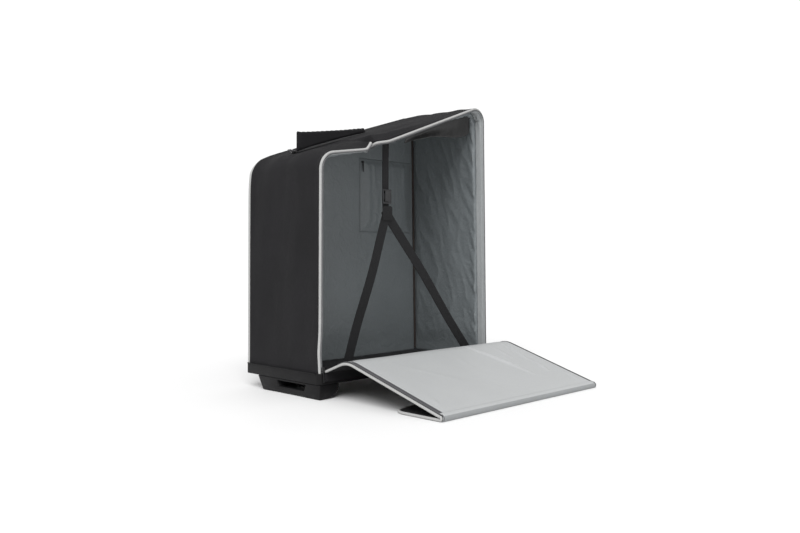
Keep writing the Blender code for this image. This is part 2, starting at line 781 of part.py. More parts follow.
def lower_strap(name, foot_x, depth):
    """A strap from the floor to the yoke, cut level at the floor and square at the top."""
    foot = Vector((foot_x, strap_foot))
    yoke = Vector((YOKE_X, YOKE_HEIGHT))
    way = (yoke - foot).normalized()
    across = Vector((way.y, -way.x)) * STRAP_WIDTH / 2
    top = yoke + way * YOKE_REACH
    corners = [wall_at(top - across, way, strap_foot), wall_at(top + across, way, strap_foot)]
    corners += [top + across, top - across]
    plate(
        name, [(p.x, p.y) for p in corners], depth, depth + STRAP_THICKNESS,
        BLACK_WEBBING, CENTRE,
    )


lower_strap("strap_left", LEFT_STRAP_INSET, STRAP_DEPTH)
lower_strap("strap_right", right_foot, STRAP_DEPTH + layer)
top_depth = STRAP_DEPTH + 2 * layer
strap_left_x, strap_right_x = YOKE_X - TOP_STRAP_WIDTH / 2, YOKE_X + TOP_STRAP_WIDTH / 2
top_low = YOKE_HEIGHT - YOKE_REACH
plate(
    "strap_top",
    (
        (strap_left_x, top_low), (strap_right_x, top_low),
        (strap_right_x, roof_at(strap_right_x, top_depth, WALL) - ROOF_GAP),
        (strap_left_x, roof_at(strap_left_x, top_depth, WALL) - ROOF_GAP),
    ),
    top_depth, top_depth + STRAP_THICKNESS, BLACK_WEBBING, CENTRE,
)
plate(
    "yoke_patch",
    round_rectangle(
        (YOKE_X - PATCH_WIDTH / 2, YOKE_HEIGHT - PATCH_HEIGHT / 2),
        (YOKE_X + PATCH_WIDTH / 2, YOKE_HEIGHT + PATCH_HEIGHT / 2), PATCH_CORNER,
    ),
    STRAP_DEPTH - layer, STRAP_DEPTH - GAP, BLACK_WEBBING, CENTRE,
)
middle = STRAP_DEPTH + layer
for side, foot_x in (("left", LEFT_STRAP_INSET), ("right", right_foot - ANCHOR_LENGTH / 4)):
    box(
        "strap_anchor_" + side,
        (foot_x - ANCHOR_LENGTH / 2, middle - ANCHOR_WIDTH / 2, pad_top + GAP),
        (foot_x + ANCHOR_LENGTH / 2, middle + ANCHOR_WIDTH / 2, pad_top + GAP + ANCHOR_THICKNESS),
        BLACK_WEBBING, CENTRE,
    )


# Cam buckle on the top strap: a frame and a lever that tips forward

BUCKLE_WIDTH = 0.030
BUCKLE_HEIGHT = 0.036
BUCKLE_LIFT = 0.006
BUCKLE_THICKNESS = 0.004
BUCKLE_EDGE = 0.0012
LEVER_WIDTH = 0.018
LEVER_LENGTH = 0.028
LEVER_THICKNESS = 0.003

buckle_low = YOKE_HEIGHT + PATCH_HEIGHT / 2 + BUCKLE_LIFT
buckle_back = top_depth - GAP
box(
    "buckle_frame",
    (YOKE_X - BUCKLE_WIDTH / 2, buckle_back - BUCKLE_THICKNESS, buckle_low),
    (YOKE_X + BUCKLE_WIDTH / 2, buckle_back, buckle_low + BUCKLE_HEIGHT),
    BLACK_PLASTIC, CENTRE, BUCKLE_EDGE,
)
lever_y = buckle_back - BUCKLE_THICKNESS - GAP - LEVER_THICKNESS / 2
lever_low = buckle_low + (BUCKLE_HEIGHT - LEVER_LENGTH) / 2
lever_hinge = pivot("lever_pivot", (YOKE_X, lever_y, lever_low + LEVER_THICKNESS / 2), CENTRE)
box(
    "cam_lever", (-LEVER_WIDTH / 2, -LEVER_THICKNESS / 2, 0),
    (LEVER_WIDTH / 2, LEVER_THICKNESS / 2, LEVER_LENGTH), DARK_METAL, lever_hinge,
)


# Hinge binding: the lid's fabric hem, fastened along the front of the tray

BINDING_DROP = 0.021


def lid_side(inset, height, side):
    return side_x(LID_INSET + inset, height, side)


binding_top = HINGE_HEIGHT - ROOT_GAP / 2
binding_left = lid_side(0, HINGE_HEIGHT, "left")
binding_right = lid_side(0, HINGE_HEIGHT, "right")
box(
    "hinge_binding", (binding_left, LID_FACE, HINGE_HEIGHT - BINDING_DROP),
    (binding_right, -TRAY_PROUD - GAP, binding_top), BLACK_CANVAS, CENTRE,
)


# Lid: each panel is drawn shut, upright on its own pivot, and the pivots lay it open

strip_frame = pivot("lid_hinge_pivot", (0, LID_FACE, HINGE_HEIGHT), CENTRE, (HINGE_ANGLE, 0, 0))
lower_frame = pivot("strip_bend_pivot", (0, 0, STRIP_LENGTH), strip_frame, (BEND_ANGLE, 0, 0))
upper_frame = pivot("lid_fold_pivot", (0, 0, LOWER_LENGTH), lower_frame, (FOLD_ANGLE, 0, 0))
PANELS = {
    "strip": (strip_frame, HINGE_HEIGHT, BEND_HEIGHT),
    "lower": (lower_frame, BEND_HEIGHT, FOLD_HEIGHT),
    "upper": (upper_frame, FOLD_HEIGHT, RIGHT_CORNER_HEIGHT),
}
lid_edge = LID_PIPING_DIAMETER + GAP
lid_tape_end = lid_edge + ZIP_TAPE_WIDTH
board_low = OUTER_THICKNESS + GAP
board_high = board_low + LID_BOARD_THICKNESS
face_low = LID_THICKNESS - LINING_THICKNESS


def lid_path(panel, inset):
    """The edge of a panel as (x, z) from its own pivot: up the left and down the right."""
    low, high = PANELS[panel][1] + ROOT_GAP, PANELS[panel][2] - ROOT_GAP
    line = outline(LID_INSET + inset, 0, low)
    if panel != "upper":
        top = outline(LID_INSET + inset, 0, high)
        line = [line[0], top[0], top[-1], line[-1]]
    return [(p.x, p.y - PANELS[panel][1]) for p in line]


def lid_layer(name, panel, inset, low, high, material):
    plate(name, lid_path(panel, inset), low, high, material, PANELS[panel][0])


def lid_piping(panel):
    """The cord at a panel's edge: two straight sides, or one run round the upper panel."""
    path = [(x, LID_THICKNESS / 2, z) for x, z in lid_path(panel, LID_PIPING_DIAMETER / 2)]
    runs = {"": path} if panel == "upper" else {"_left": path[:2], "_right": path[2:]}
    for side, run in runs.items():
        name = panel + "_piping" + side
        tube(name, run, LID_PIPING_DIAMETER / 2, LIGHT_PIPING, PANELS[panel][0])


def lid_tape(panel):
    """The zip tape inside the piping, level with the lining."""
    outer, inner = lid_path(panel, lid_edge), lid_path(panel, lid_tape_end)
    bands = {"": outer + inner[::-1]}
    if panel != "upper":
        bands = {"_left": outer[:2] + inner[1::-1], "_right": outer[2:] + inner[:1:-1]}
    for side, band in bands.items():
        name = panel + "_zip_tape" + side
        plate(name, band, face_low, LID_THICKNESS, DARK_TAPE, PANELS[panel][0])


lid_layer("strip_foam", "strip", lid_edge, board_low, board_high, GREY_FOAM)
lid_layer("strip_lining", "strip", lid_edge, face_low, LID_THICKNESS, GREY_LINING)
for panel in ("lower", "upper"):
    lid_layer(panel + "_board", panel, lid_edge, board_low, board_high, GREY_BOARD)
    lid_layer(panel + "_lining", panel, lid_tape_end + GAP, face_low, LID_THICKNESS, GREY_LINING)
    lid_tape(panel)
for panel in PANELS:
    lid_layer(panel + "_outer", panel, lid_edge, 0, OUTER_THICKNESS, BLACK_CANVAS)
    lid_piping(panel)


# Round pieces are shaded smooth

for piece in bag.objects:
    if piece.type == "MESH":
        piece.data.shade_smooth()
        piece.data.set_sharp_from_angle(angle=SMOOTH_BELOW)
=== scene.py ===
import math

import bmesh
import bpy
from mathutils import Matrix, Vector, noise


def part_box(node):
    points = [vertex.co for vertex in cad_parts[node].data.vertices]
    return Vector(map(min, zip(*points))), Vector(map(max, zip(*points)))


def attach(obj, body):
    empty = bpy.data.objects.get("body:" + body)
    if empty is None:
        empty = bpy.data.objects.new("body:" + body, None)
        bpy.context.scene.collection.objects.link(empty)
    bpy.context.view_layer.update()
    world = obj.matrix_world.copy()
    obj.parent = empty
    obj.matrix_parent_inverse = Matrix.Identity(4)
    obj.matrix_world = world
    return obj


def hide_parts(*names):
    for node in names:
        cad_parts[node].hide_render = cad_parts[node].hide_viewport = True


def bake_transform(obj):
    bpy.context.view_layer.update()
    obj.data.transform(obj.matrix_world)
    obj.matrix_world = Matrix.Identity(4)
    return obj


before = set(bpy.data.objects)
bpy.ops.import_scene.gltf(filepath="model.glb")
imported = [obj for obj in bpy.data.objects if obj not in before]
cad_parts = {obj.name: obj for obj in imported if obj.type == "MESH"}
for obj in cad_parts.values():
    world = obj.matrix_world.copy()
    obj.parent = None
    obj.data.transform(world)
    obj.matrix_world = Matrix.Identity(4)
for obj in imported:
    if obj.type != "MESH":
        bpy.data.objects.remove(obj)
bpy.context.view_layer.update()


# Studio: a pale floor that runs out of sight, soft light from all round and one broad sun from
# the front left. The camera stands low, off the bag's front left corner.

FLOOR_SIZE = 16.0
FLOOR_DROP = 0.0003
FLOOR_PALE = (0.93, 0.93, 0.93, 1)
FLOOR_ROUGHNESS = (0.55, 0.7)
AIR_STRENGTH = 0.66
AIR_SEEN = 1.05
SUN_STRENGTH = 2.3
SUN_SPREAD = math.radians(40)
SUN_AIM = (0.52, 0.42, -0.74)
CAMERA_PLACE = (-1.4989, -1.3924, 0.3439)
CAMERA_TURN = (math.pi / 2 - 0.0206, 0, -0.7948)
CAMERA_LENS = 36.54
SENSOR_WIDTH = 36
SMOOTH_BELOW = math.radians(38)


def add_node(tree, kind, inputs=None, **settings):
    """A shader node; each input is given a value or the socket that feeds it."""
    node = tree.nodes.new(kind)
    for setting, value in settings.items():
        setattr(node, setting, value)
    for socket, value in (inputs or {}).items():
        if isinstance(value, bpy.types.NodeSocket):
            tree.links.new(value, node.inputs[socket])
        else:
            node.inputs[socket].default_value = value
    return node


def maths(tree, operation, *values):
    return add_node(tree, "ShaderNodeMath", dict(enumerate(values)), operation=operation).outputs[0]


def clouds(tree, place, scale, detail=2.0, distortion=0.0):
    """The mask of a noise texture over a place."""
    return add_node(tree, "ShaderNodeTexNoise", {
        "Vector": place, "Scale": scale, "Detail": detail, "Distortion": distortion}).outputs["Fac"]


def blank_material(name):
    """A new material with its node tree, its shader and its texture coordinates."""
    made = bpy.data.materials.new(name)
    made.use_nodes = True
    tree = made.node_tree
    return made, tree, tree.nodes["Principled BSDF"], tree.nodes.new("ShaderNodeTexCoord")


def put(name, shape, material=None):
    """Turns finished mesh work into an object at the origin, smooth below a sharp angle."""
    data = bpy.data.meshes.new(name)
    shape.to_mesh(data)
    shape.free()
    made = bpy.data.objects.new(name, data)
    bpy.context.scene.collection.objects.link(made)
    data.shade_smooth()
    data.set_sharp_from_angle(angle=SMOOTH_BELOW)
    if material:
        data.materials.append(material)
    return made


world = bpy.data.worlds.new("studio_air")
bpy.context.scene.world = world
world.use_nodes = True
air = world.node_tree.nodes["Background"]
air.inputs["Color"].default_value = (1, 1, 1, 1)
seen = world.node_tree.nodes.new("ShaderNodeLightPath").outputs["Is Camera Ray"]
strength = add_node(world.node_tree, "ShaderNodeMapRange", {
    "Value": seen, "To Min": AIR_STRENGTH, "To Max": AIR_SEEN})
world.node_tree.links.new(strength.outputs[0], air.inputs["Strength"])
bpy.context.scene.view_settings.view_transform = "Standard"

pale_floor, tree, shader, coords = blank_material("pale_floor")
mottle = clouds(tree, coords.outputs["Object"], 3.0)
ramp = add_node(tree, "ShaderNodeMapRange", {
    "Value": mottle, "To Min": FLOOR_ROUGHNESS[0], "To Max": FLOOR_ROUGHNESS[1]})
tree.links.new(ramp.outputs[0], shader.inputs["Roughness"])
shader.inputs["Base Color"].default_value = FLOOR_PALE
shape = bmesh.new()
bmesh.ops.create_grid(shape, x_segments=8, y_segments=8, size=FLOOR_SIZE / 2)
bmesh.ops.translate(shape, vec=(0, 0, -FLOOR_DROP), verts=shape.verts)
put("studio_floor", shape, pale_floor)

sun = bpy.data.objects.new("broad_sun", bpy.data.lights.new("broad_sun", "SUN"))
sun.data.energy = SUN_STRENGTH
sun.data.angle = SUN_SPREAD
sun.rotation_euler = Vector(SUN_AIM).to_track_quat("-Z", "Y").to_euler()
bpy.context.scene.collection.objects.link(sun)

camera = bpy.data.objects.new("camera", bpy.data.cameras.new("camera"))
camera.location = CAMERA_PLACE
camera.rotation_euler = CAMERA_TURN
camera.data.lens = CAMERA_LENS
camera.data.sensor_width = SENSOR_WIDTH
bpy.context.scene.collection.objects.link(camera)
bpy.context.scene.camera = camera


# Tray: a shallow black moulding that the walls stand in. Its edges are rounded, its face is
# fine-grained and scuffed low down, and a bead stiffens its rim except behind the lid's hem.

TRAY_PROUD = 0.0048
TRAY_ROUND = 0.0016
BEAD_RADIUS = 0.0013
BEAD_CORNER = 0.013
SHARP_EDGE = math.radians(32)
CORNER = Vector((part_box("base_tray")[0].x + TRAY_PROUD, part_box("base_tray")[0].y + TRAY_PROUD, 0))


def new_effect(name, inputs, outputs):
    """A node group for an effect that several materials share, with its two end nodes."""
    tree = bpy.data.node_groups.new(name, "ShaderNodeTree")
    for label, kind, value in inputs:
        socket = tree.interface.new_socket(label, in_out="INPUT", socket_type="NodeSocket" + kind)
        if value is not None:
            socket.default_value = value
    for label, kind in outputs:
        tree.interface.new_socket(label, in_out="OUTPUT", socket_type="NodeSocket" + kind)
    ends = tree.nodes.new("NodeGroupInput"), tree.nodes.new("NodeGroupOutput")
    return tree, ends[0].outputs, ends[1].inputs


def scaled(tree, colour, shade):
    """A colour made lighter or darker by a mask."""
    return add_node(tree, "ShaderNodeVectorMath", {0: colour, "Scale": shade},
                    operation="SCALE").outputs[0]


def bumped(tree, relief):
    """The normal of a relief in metres."""
    return add_node(tree, "ShaderNodeBump", {"Height": relief, "Distance": 1.0}).outputs[0]


def moulding_effect():
    """Fine grain, cloudy sheen, and pale scuffs that gather towards the floor."""
    tree, given, out = new_effect(
        "moulded_surface",
        (("Place", "Vector", None), ("Colour", "Color", (0.02, 0.02, 0.02, 1)),
         ("Roughness", "Float", 0.5), ("Grain", "Float", 900.0), ("Relief", "Float", 0.00004),
         ("Scuffs", "Float", 0.5)),
        (("Colour", "Color"), ("Roughness", "Float"), ("Normal", "Vector")))
    grain = clouds(tree, given["Place"], given["Grain"])
    cloud = clouds(tree, given["Place"], 21.0, 5.0)
    drag = add_node(tree, "ShaderNodeVectorMath", {0: given["Place"], 1: (30.0, 30.0, 420.0)},
                    operation="MULTIPLY").outputs[0]
    scratch = clouds(tree, drag, 1.0, 3.0)
    height = add_node(tree, "ShaderNodeSeparateXYZ", {0: given["Place"]}).outputs["Z"]
    low = add_node(tree, "ShaderNodeMapRange", {
        "Value": height, "From Min": 0.0, "From Max": 0.05, "To Min": 1.0, "To Max": 0.25}).outputs[0]
    marks = add_node(tree, "ShaderNodeMapRange", {
        "Value": maths(tree, "MULTIPLY", scratch, cloud), "From Min": 0.28, "From Max": 0.42})
    mask = maths(tree, "MULTIPLY", maths(tree, "MULTIPLY", marks.outputs[0], low), given["Scuffs"])
    tinted = scaled(tree, given["Colour"], maths(tree, "MULTIPLY_ADD", cloud, 0.7, 0.65))
    colour = add_node(tree, "ShaderNodeMix", {0: mask, 6: tinted, 7: (0.07, 0.07, 0.072, 1)},
                      data_type="RGBA")
    tree.links.new(colour.outputs[2], out["Colour"])
    rough = maths(tree, "ADD", given["Roughness"], maths(tree, "MULTIPLY_ADD", cloud, 0.24, -0.12))
    tree.links.new(maths(tree, "MULTIPLY_ADD", mask, 0.25, rough), out["Roughness"])
    tree.links.new(bumped(tree, maths(tree, "MULTIPLY", grain, given["Relief"])), out["Normal"])
    return tree


def effect_material(name, effect, maps, values, gloss):
    """A material that takes its colour, roughness and normal from a shared effect. Maps says
    which of the piece's coordinates each input of the effect reads."""
    made, tree, shader, coords = blank_material(name)
    for socket, source in maps.items():
        values[socket] = coords.outputs[source]
    surface = add_node(tree, "ShaderNodeGroup", values, node_tree=effect)
    for source, target in (("Colour", "Base Color"), ("Roughness", "Roughness"),
                           ("Normal", "Normal")):
        tree.links.new(surface.outputs[source], shader.inputs[target])
    shader.inputs["Specular IOR Level"].default_value = gloss
    return made


def moulded(name, colour, roughness, grain=900.0, relief=0.00004, scuffs=0.5, gloss=0.3):
    """A moulded plastic or rubber, which reads the piece's own place."""
    values = {"Colour": (*colour, 1), "Roughness": roughness, "Grain": grain, "Relief": relief,
              "Scuffs": scuffs}
    return effect_material(name, MOULDING, {"Place": "Object"}, values, gloss)


def fit(made, body, slot, *nodes):
    """Hangs a piece on its body and hides the nodes that it stands for; its slot is not used."""
    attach(made, body)
    if nodes:
        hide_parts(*nodes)
    return made


def eased(name, node, width, steps=3):
    """A rigid piece with its edges rounded, from a merged copy of the node it replaces."""
    shape = bmesh.new()
    shape.from_mesh(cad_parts[node].data)
    bmesh.ops.remove_doubles(shape, verts=shape.verts, dist=1e-5)
    bmesh.ops.dissolve_limit(
        shape, angle_limit=math.radians(0.5), verts=shape.verts, edges=shape.edges)
    edges = [e for e in shape.edges if e.is_manifold and e.calc_face_angle() > SHARP_EDGE]
    bmesh.ops.bevel(shape, geom=edges, offset=width, affect="EDGES", segments=steps, profile=0.5,
                    material=-1, clamp_overlap=True)
    return put(name, shape)


def tube(name, path, radius, across, around=10, closed=False):
    """A round cord along a path. Across is a direction that the path never follows, and
    radius is a size or a function of the step along the path."""
    count = len(path)
    rows = count if closed else count - 1
    shape = bmesh.new()
    bmesh.ops.create_grid(shape, x_segments=around, y_segments=rows, size=0.5)
    cloth_map = shape.loops.layers.uv.new("cloth")
    length = sum((b - a).length for a, b in zip(path, path[1:]))
    for face in shape.faces:
        for loop in face.loops:
            turn, share = loop.vert.co.x + 0.5, loop.vert.co.y + 0.5
            loop[cloth_map].uv = (turn * 0.02, share * length)
    for vert in shape.verts:
        step = round((vert.co.y + 0.5) * rows)
        angle = 2 * math.pi * (vert.co.x + 0.5)
        at = path[step % count]
        if closed:
            ahead, behind = path[(step + 1) % count], path[(step - 1) % count]
        else:
            ahead, behind = path[min(step + 1, count - 1)], path[max(step - 1, 0)]
        way = (ahead - behind).normalized()
        side = way.cross(Vector(across)).normalized()
        up = side.cross(way)
        size = radius(step) if callable(radius) else radius
        vert.co = at + size * (math.cos(angle) * side + math.sin(angle) * up)
    bmesh.ops.remove_doubles(shape, verts=shape.verts, dist=1e-6)
    if not closed:
        bmesh.ops.holes_fill(shape, edges=[e for e in shape.edges if e.is_boundary])
    bmesh.ops.recalc_face_normals(shape, faces=shape.faces)
    return put(name, shape)


def dressed(made, material):
    made.data.materials.clear()
    made.data.materials.append(material)
    return made


MOULDING = moulding_effect()
tray_plastic = moulded("black_moulding", (0.0085, 0.0083, 0.009), 0.46, scuffs=0.3, gloss=0.16)

fit(dressed(eased("tray_moulding", "base_tray", TRAY_ROUND), tray_plastic), "bag",
    "black_plastic", "base_tray")
tray_low, tray_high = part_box("base_tray")
bead_z = tray_high.z - BEAD_RADIUS
bead_path = [Vector((tray_low.x, tray_low.y + BEAD_CORNER, bead_z))]
for corner_x, start in ((tray_low.x + BEAD_CORNER, 180), (tray_high.x - BEAD_CORNER, 90)):
    for step in range(7):
        angle = math.radians(start - step * 15)
        bead_path.append(Vector((
            corner_x + BEAD_CORNER * math.cos(angle),
            tray_high.y - BEAD_CORNER + BEAD_CORNER * math.sin(angle), bead_z)))
bead_path.append(Vector((tray_high.x, tray_low.y + BEAD_CORNER, bead_z)))
fit(dressed(tube("tray_bead", bead_path, BEAD_RADIUS, (0, 0, 1)), tray_plastic), "bag",
    "black_plastic")


# Grip end: one thick moulding under the left end, two feet joined by a grip bar, with a hand
# slot above the bar. It is screwed up into the tray from below.

GRIP_ROUND = 0.0022
SCREW_RADIUS = 0.0042
SCREW_DEPTHS = (0.050, 0.200)
SCREW_HEIGHT = 0.020
METAL_GRAIN = 260.0


def spun(name, profile, centre, axis, steps=32):
    """A turned piece: a half profile of (radius, height) points spun round an axis."""
    axis = Vector(axis).normalized()
    side = axis.orthogonal().normalized()
    shape = bmesh.new()
    verts = [shape.verts.new(Vector(centre) + side * r + axis * h) for r, h in profile]
    for a, b in zip(verts, verts[1:]):
        shape.edges.new((a, b))
    bmesh.ops.spin(shape, geom=shape.verts[:] + shape.edges[:], cent=centre, axis=axis,
                   angle=2 * math.pi, steps=steps, use_merge=True)
    bmesh.ops.remove_doubles(shape, verts=shape.verts, dist=1e-6)
    bmesh.ops.recalc_face_normals(shape, faces=shape.faces)
    return put(name, shape)


def domed_screw(name, centre, axis, radius):
    """A pan-head screw with a driver recess, as shares of its radius."""
    head = ((0, 0.22), (0.32, 0.22), (0.34, 0.5), (0.62, 0.46), (0.86, 0.32), (1, 0.08),
            (1, -0.1), (0, -0.1))
    return spun(name, [(r * radius, h * radius) for r, h in head], centre, axis, 24)


def metal(name, colour, roughness):
    """Plated or painted metal with fine drawn lines and cloudy tarnish."""
    made, tree, shader, coords = blank_material(name)
    drawn = add_node(tree, "ShaderNodeVectorMath", {
        0: coords.outputs["Object"], 1: (METAL_GRAIN, METAL_GRAIN, METAL_GRAIN / 18)},
        operation="MULTIPLY").outputs[0]
    lines = clouds(tree, drawn, 6.0)
    cloud = clouds(tree, coords.outputs["Object"], 140.0, 4.0)
    tinted = scaled(tree, colour, maths(tree, "MULTIPLY_ADD", cloud, 0.5, 0.72))
    tree.links.new(tinted, shader.inputs["Base Color"])
    rough = maths(tree, "MULTIPLY_ADD", lines, 0.22, roughness - 0.1)
    tree.links.new(rough, shader.inputs["Roughness"])
    shader.inputs["Metallic"].default_value = 1.0
    relief = maths(tree, "MULTIPLY", lines, 0.00002)
    tree.links.new(bumped(tree, relief), shader.inputs["Normal"])
    return made


steel_screw = metal("dark_plated_steel", (0.23, 0.23, 0.24), 0.38)
fit(dressed(eased("grip_moulding", "grip_end", GRIP_ROUND), tray_plastic), "bag",
    "black_plastic", "grip_end")
grip_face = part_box("grip_end")[1].x
for index, depth in enumerate(SCREW_DEPTHS):
    screw = domed_screw(f"grip_screw_{index + 1}",
                        Vector((grip_face, CORNER.y + depth, SCREW_HEIGHT)), (1, 0, 0),
                        SCREW_RADIUS)
    fit(dressed(screw, steel_screw), "bag", "dark_metal")


# Wheels: two small wheels under the right end. A rubber tyre sits on a plastic hub with a
# dished face, the hub turns on a steel pin, and the pin is riveted through a moulded bracket.

RIM_RADIUS = 0.0118
GROOVE_HALF = 0.0012
GROOVE_DEPTH = 0.0007
NECK_RADIUS = 0.00195

tyre_rubber = moulded("tyre_rubber", (0.02, 0.02, 0.02), 0.82, 1600.0, 0.00006, 0.9)
wheel_plastic = moulded("wheel_plastic", (0.028, 0.028, 0.03), 0.4, 700.0, 0.00002, 0.3)
for side in ("front", "rear"):
    low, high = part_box("tyre_" + side)
    centre = (low + high) / 2
    half = (high.y - low.y) / 2
    tread = (high.x - low.x) / 2
    shoulder = [(RIM_RADIUS - 0.0009, half - 0.0008), (RIM_RADIUS, half), (tread - 0.0014, half),
                (tread - 0.0005, half - 0.0007)]
    profile = shoulder[:]
    for groove in range(-1, 3):
        middle = -groove * half / 2.2
        profile += [(tread, middle + GROOVE_HALF),
                    (tread - GROOVE_DEPTH, middle + GROOVE_HALF / 3),
                    (tread - GROOVE_DEPTH, middle - GROOVE_HALF / 3),
                    (tread, middle - GROOVE_HALF)]
    profile += [(r, -h) for r, h in reversed(shoulder)] + shoulder[:1]
    tyre = spun("tyre_on_" + side, profile, centre, (0, 1, 0), 48)
    fit(dressed(tyre, tyre_rubber), "wheel_" + side, "black_rubber", "tyre_" + side)
    hub = [(0.0021, half - 0.0004), (0.0042, half - 0.0001), (0.0048, half - 0.0016),
           (0.0086, half - 0.0022), (0.0094, half - 0.0003), (0.0105, half - 0.0003)]
    hub = hub + [(r, -h) for r, h in reversed(hub)] + hub[:1]
    core = spun("hub_in_" + side, hub, centre, (0, 1, 0), 40)
    fit(dressed(core, wheel_plastic), "wheel_" + side, "black_plastic", "hub_" + side)
    fit(dressed(eased("fork_" + side, "bracket_" + side, 0.0006, 2), tray_plastic), "bag",
        "black_plastic", "bracket_" + side)
    pin_low, pin_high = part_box("axle_" + side)
    end = (pin_high.y - pin_low.y) / 2
    rivet = [(0, end), (0.0022, end - 0.0001), (0.0033, end - 0.0006), (0.0034, end - 0.001),
             (NECK_RADIUS, end - 0.001)]
    rivet += [(r, -h) for r, h in reversed(rivet)]
    fit(dressed(spun("pin_" + side, rivet, centre, (0, 1, 0), 24), steel_screw), "bag",
        "dark_metal", "axle_" + side)


# Outer skin: one long piece of black canvas round left side, roof and right side. It is
# stretched over the padding between the two pipings and hangs in soft folds.

WIDTH = 0.612
LEFT_HEIGHT = 0.567
RIGHT_HEIGHT = 0.750
LEFT_LEAN = 0.004
RIGHT_LEAN = 0.014
LEFT_RADIUS = 0.046
RIGHT_RADIUS = 0.036
KINK_X = LEFT_LEAN + 0.258 * (WIDTH - RIGHT_LEAN - LEFT_LEAN)
KINK_BEFORE = 0.024
KINK_AFTER = 0.042
FRONT_SAG = 0.025
SAG_DEPTH = 0.120
SHOULDER_GIVE = 0.007
FOOT_PINCH = 0.0030
LIP_LIFT = 0.0125
LIP_START = 0.1490
CREASE_START = 0.1645
CREASE_END = 0.1835
CREASE_PUSH = 0.020
CREASE_DROP = 0.006
RIDGE_LIFT = 0.0165
RIDGE_EDGE_LIFT = 0.007
TRAY_BOTTOM = 0.034
TRAY_TOP = 0.062
WALL_FOOT = 0.0383
LAYERS_FRONT = 0.0073
LAYERS_REAR = 0.2727
SKIN_FRONT = 0.0060
SKIN_REAR = 0.2740
SKIN_THICKNESS = 0.0015
LONG_FOLDS = 0.0062
SHORT_FOLDS = 0.0016
CRUMPLE = 0.0003
WALL_HOLLOW = 0.0030
GATHERS = 0.0005
GATHER_PITCH = 0.0027
SPANS = (60, 18, 24, 60, 84, 24, 76)
LAST_COLUMN = sum(SPANS)
ROOF_SLOPE = (RIGHT_HEIGHT - LEFT_HEIGHT) / (WIDTH - RIGHT_LEAN - LEFT_LEAN)


def between(a, b, steps):
    """Even steps from one point to another, without the last."""
    return [a + (b - a) * (i / steps) for i in range(steps)]


def inward(way):
    """The side of a direction that faces into the bag."""
    return Vector((way.y, -way.x))


def corner_arc(corner, before, after, radius, steps):
    """Points of a round corner, without the last, and the last one."""
    turn = math.acos(before.dot(after))
    start = corner - radius * math.tan(turn / 2) * before
    centre = start + radius * inward(before)
    spoke = start - centre
    points = []
    for step in range(steps + 1):
        c, s = math.cos(-turn * step / steps), math.sin(-turn * step / steps)
        points.append(centre + Vector((c * spoke.x - s * spoke.y, s * spoke.x + c * spoke.y)))
    return points[:-1], points[-1]


def wall_at(start, way, height):
    """The point of a wall's line at a height."""
    return start + way * (height - start.y) / way.y


def frame_corners(depth):
    """The outline's five corners at a depth: the front edge of the roof sags at its kink."""
    sag = FRONT_SAG * max(0.0, 1 - max(0.0, depth - LAYERS_FRONT) / SAG_DEPTH) ** 2
    return [
        Vector((0, TRAY_BOTTOM)), Vector((LEFT_LEAN, LEFT_HEIGHT)),
        Vector((KINK_X, LEFT_HEIGHT + (KINK_X - LEFT_LEAN) * ROOF_SLOPE - sag)),
        Vector((WIDTH - RIGHT_LEAN, RIGHT_HEIGHT)), Vector((WIDTH, TRAY_BOTTOM)),
    ]


def strip_line(inset, depth, foot=WALL_FOOT):
    """One round of the strip as (x, z) points, with the same number in each span."""
    corners = frame_corners(depth)
    ways = [(b - a).normalized() for a, b in zip(corners, corners[1:])]
    left, top, rise, right = ways
    shoulder, kink, peak = (
        corner + inset * (inward(a) + inward(b)) / (1 + a.dot(b))
        for corner, a, b in zip(corners[1:], ways, ways[1:]))
    first, first_end = corner_arc(shoulder, left, top, LEFT_RADIUS - inset, SPANS[1])
    last, last_end = corner_arc(peak, rise, right, RIGHT_RADIUS - inset, SPANS[5])
    into, out = kink - KINK_BEFORE * top, kink + KINK_AFTER * rise
    bend = [into * (1 - t) ** 2 + kink * 2 * t * (1 - t) + out * t * t
            for t in (i / SPANS[3] for i in range(SPANS[3]))]
    return [
        *between(wall_at(shoulder, left, foot), first[0], SPANS[0]), *first,
        *between(first_end, into, SPANS[2]), *bend, *between(out, last[0], SPANS[4]), *last,
        *between(last_end, wall_at(peak, right, foot), SPANS[6]),
        wall_at(peak, right, foot),
    ]


def outward_at(line, i):
    """The direction out of the strip at a column."""
    way = (line[min(i + 1, len(line) - 1)] - line[max(i - 1, 0)]).normalized()
    return -inward(way)


def ease_in(value, low, high):
    """0 below low, 1 above high, smooth between."""
    t = min(1.0, max(0.0, (value - low) / (high - low)))
    return t * t * (3 - 2 * t)


def hump(value, centre, width):
    """1 at the centre, fading to 0 on both sides."""
    return math.exp(-((value - centre) / width) ** 2)


def wander(x, y, seed):
    """A smooth value between about -1 and 1 that wanders from place to place."""
    return noise.noise(Vector((x, y, seed)))


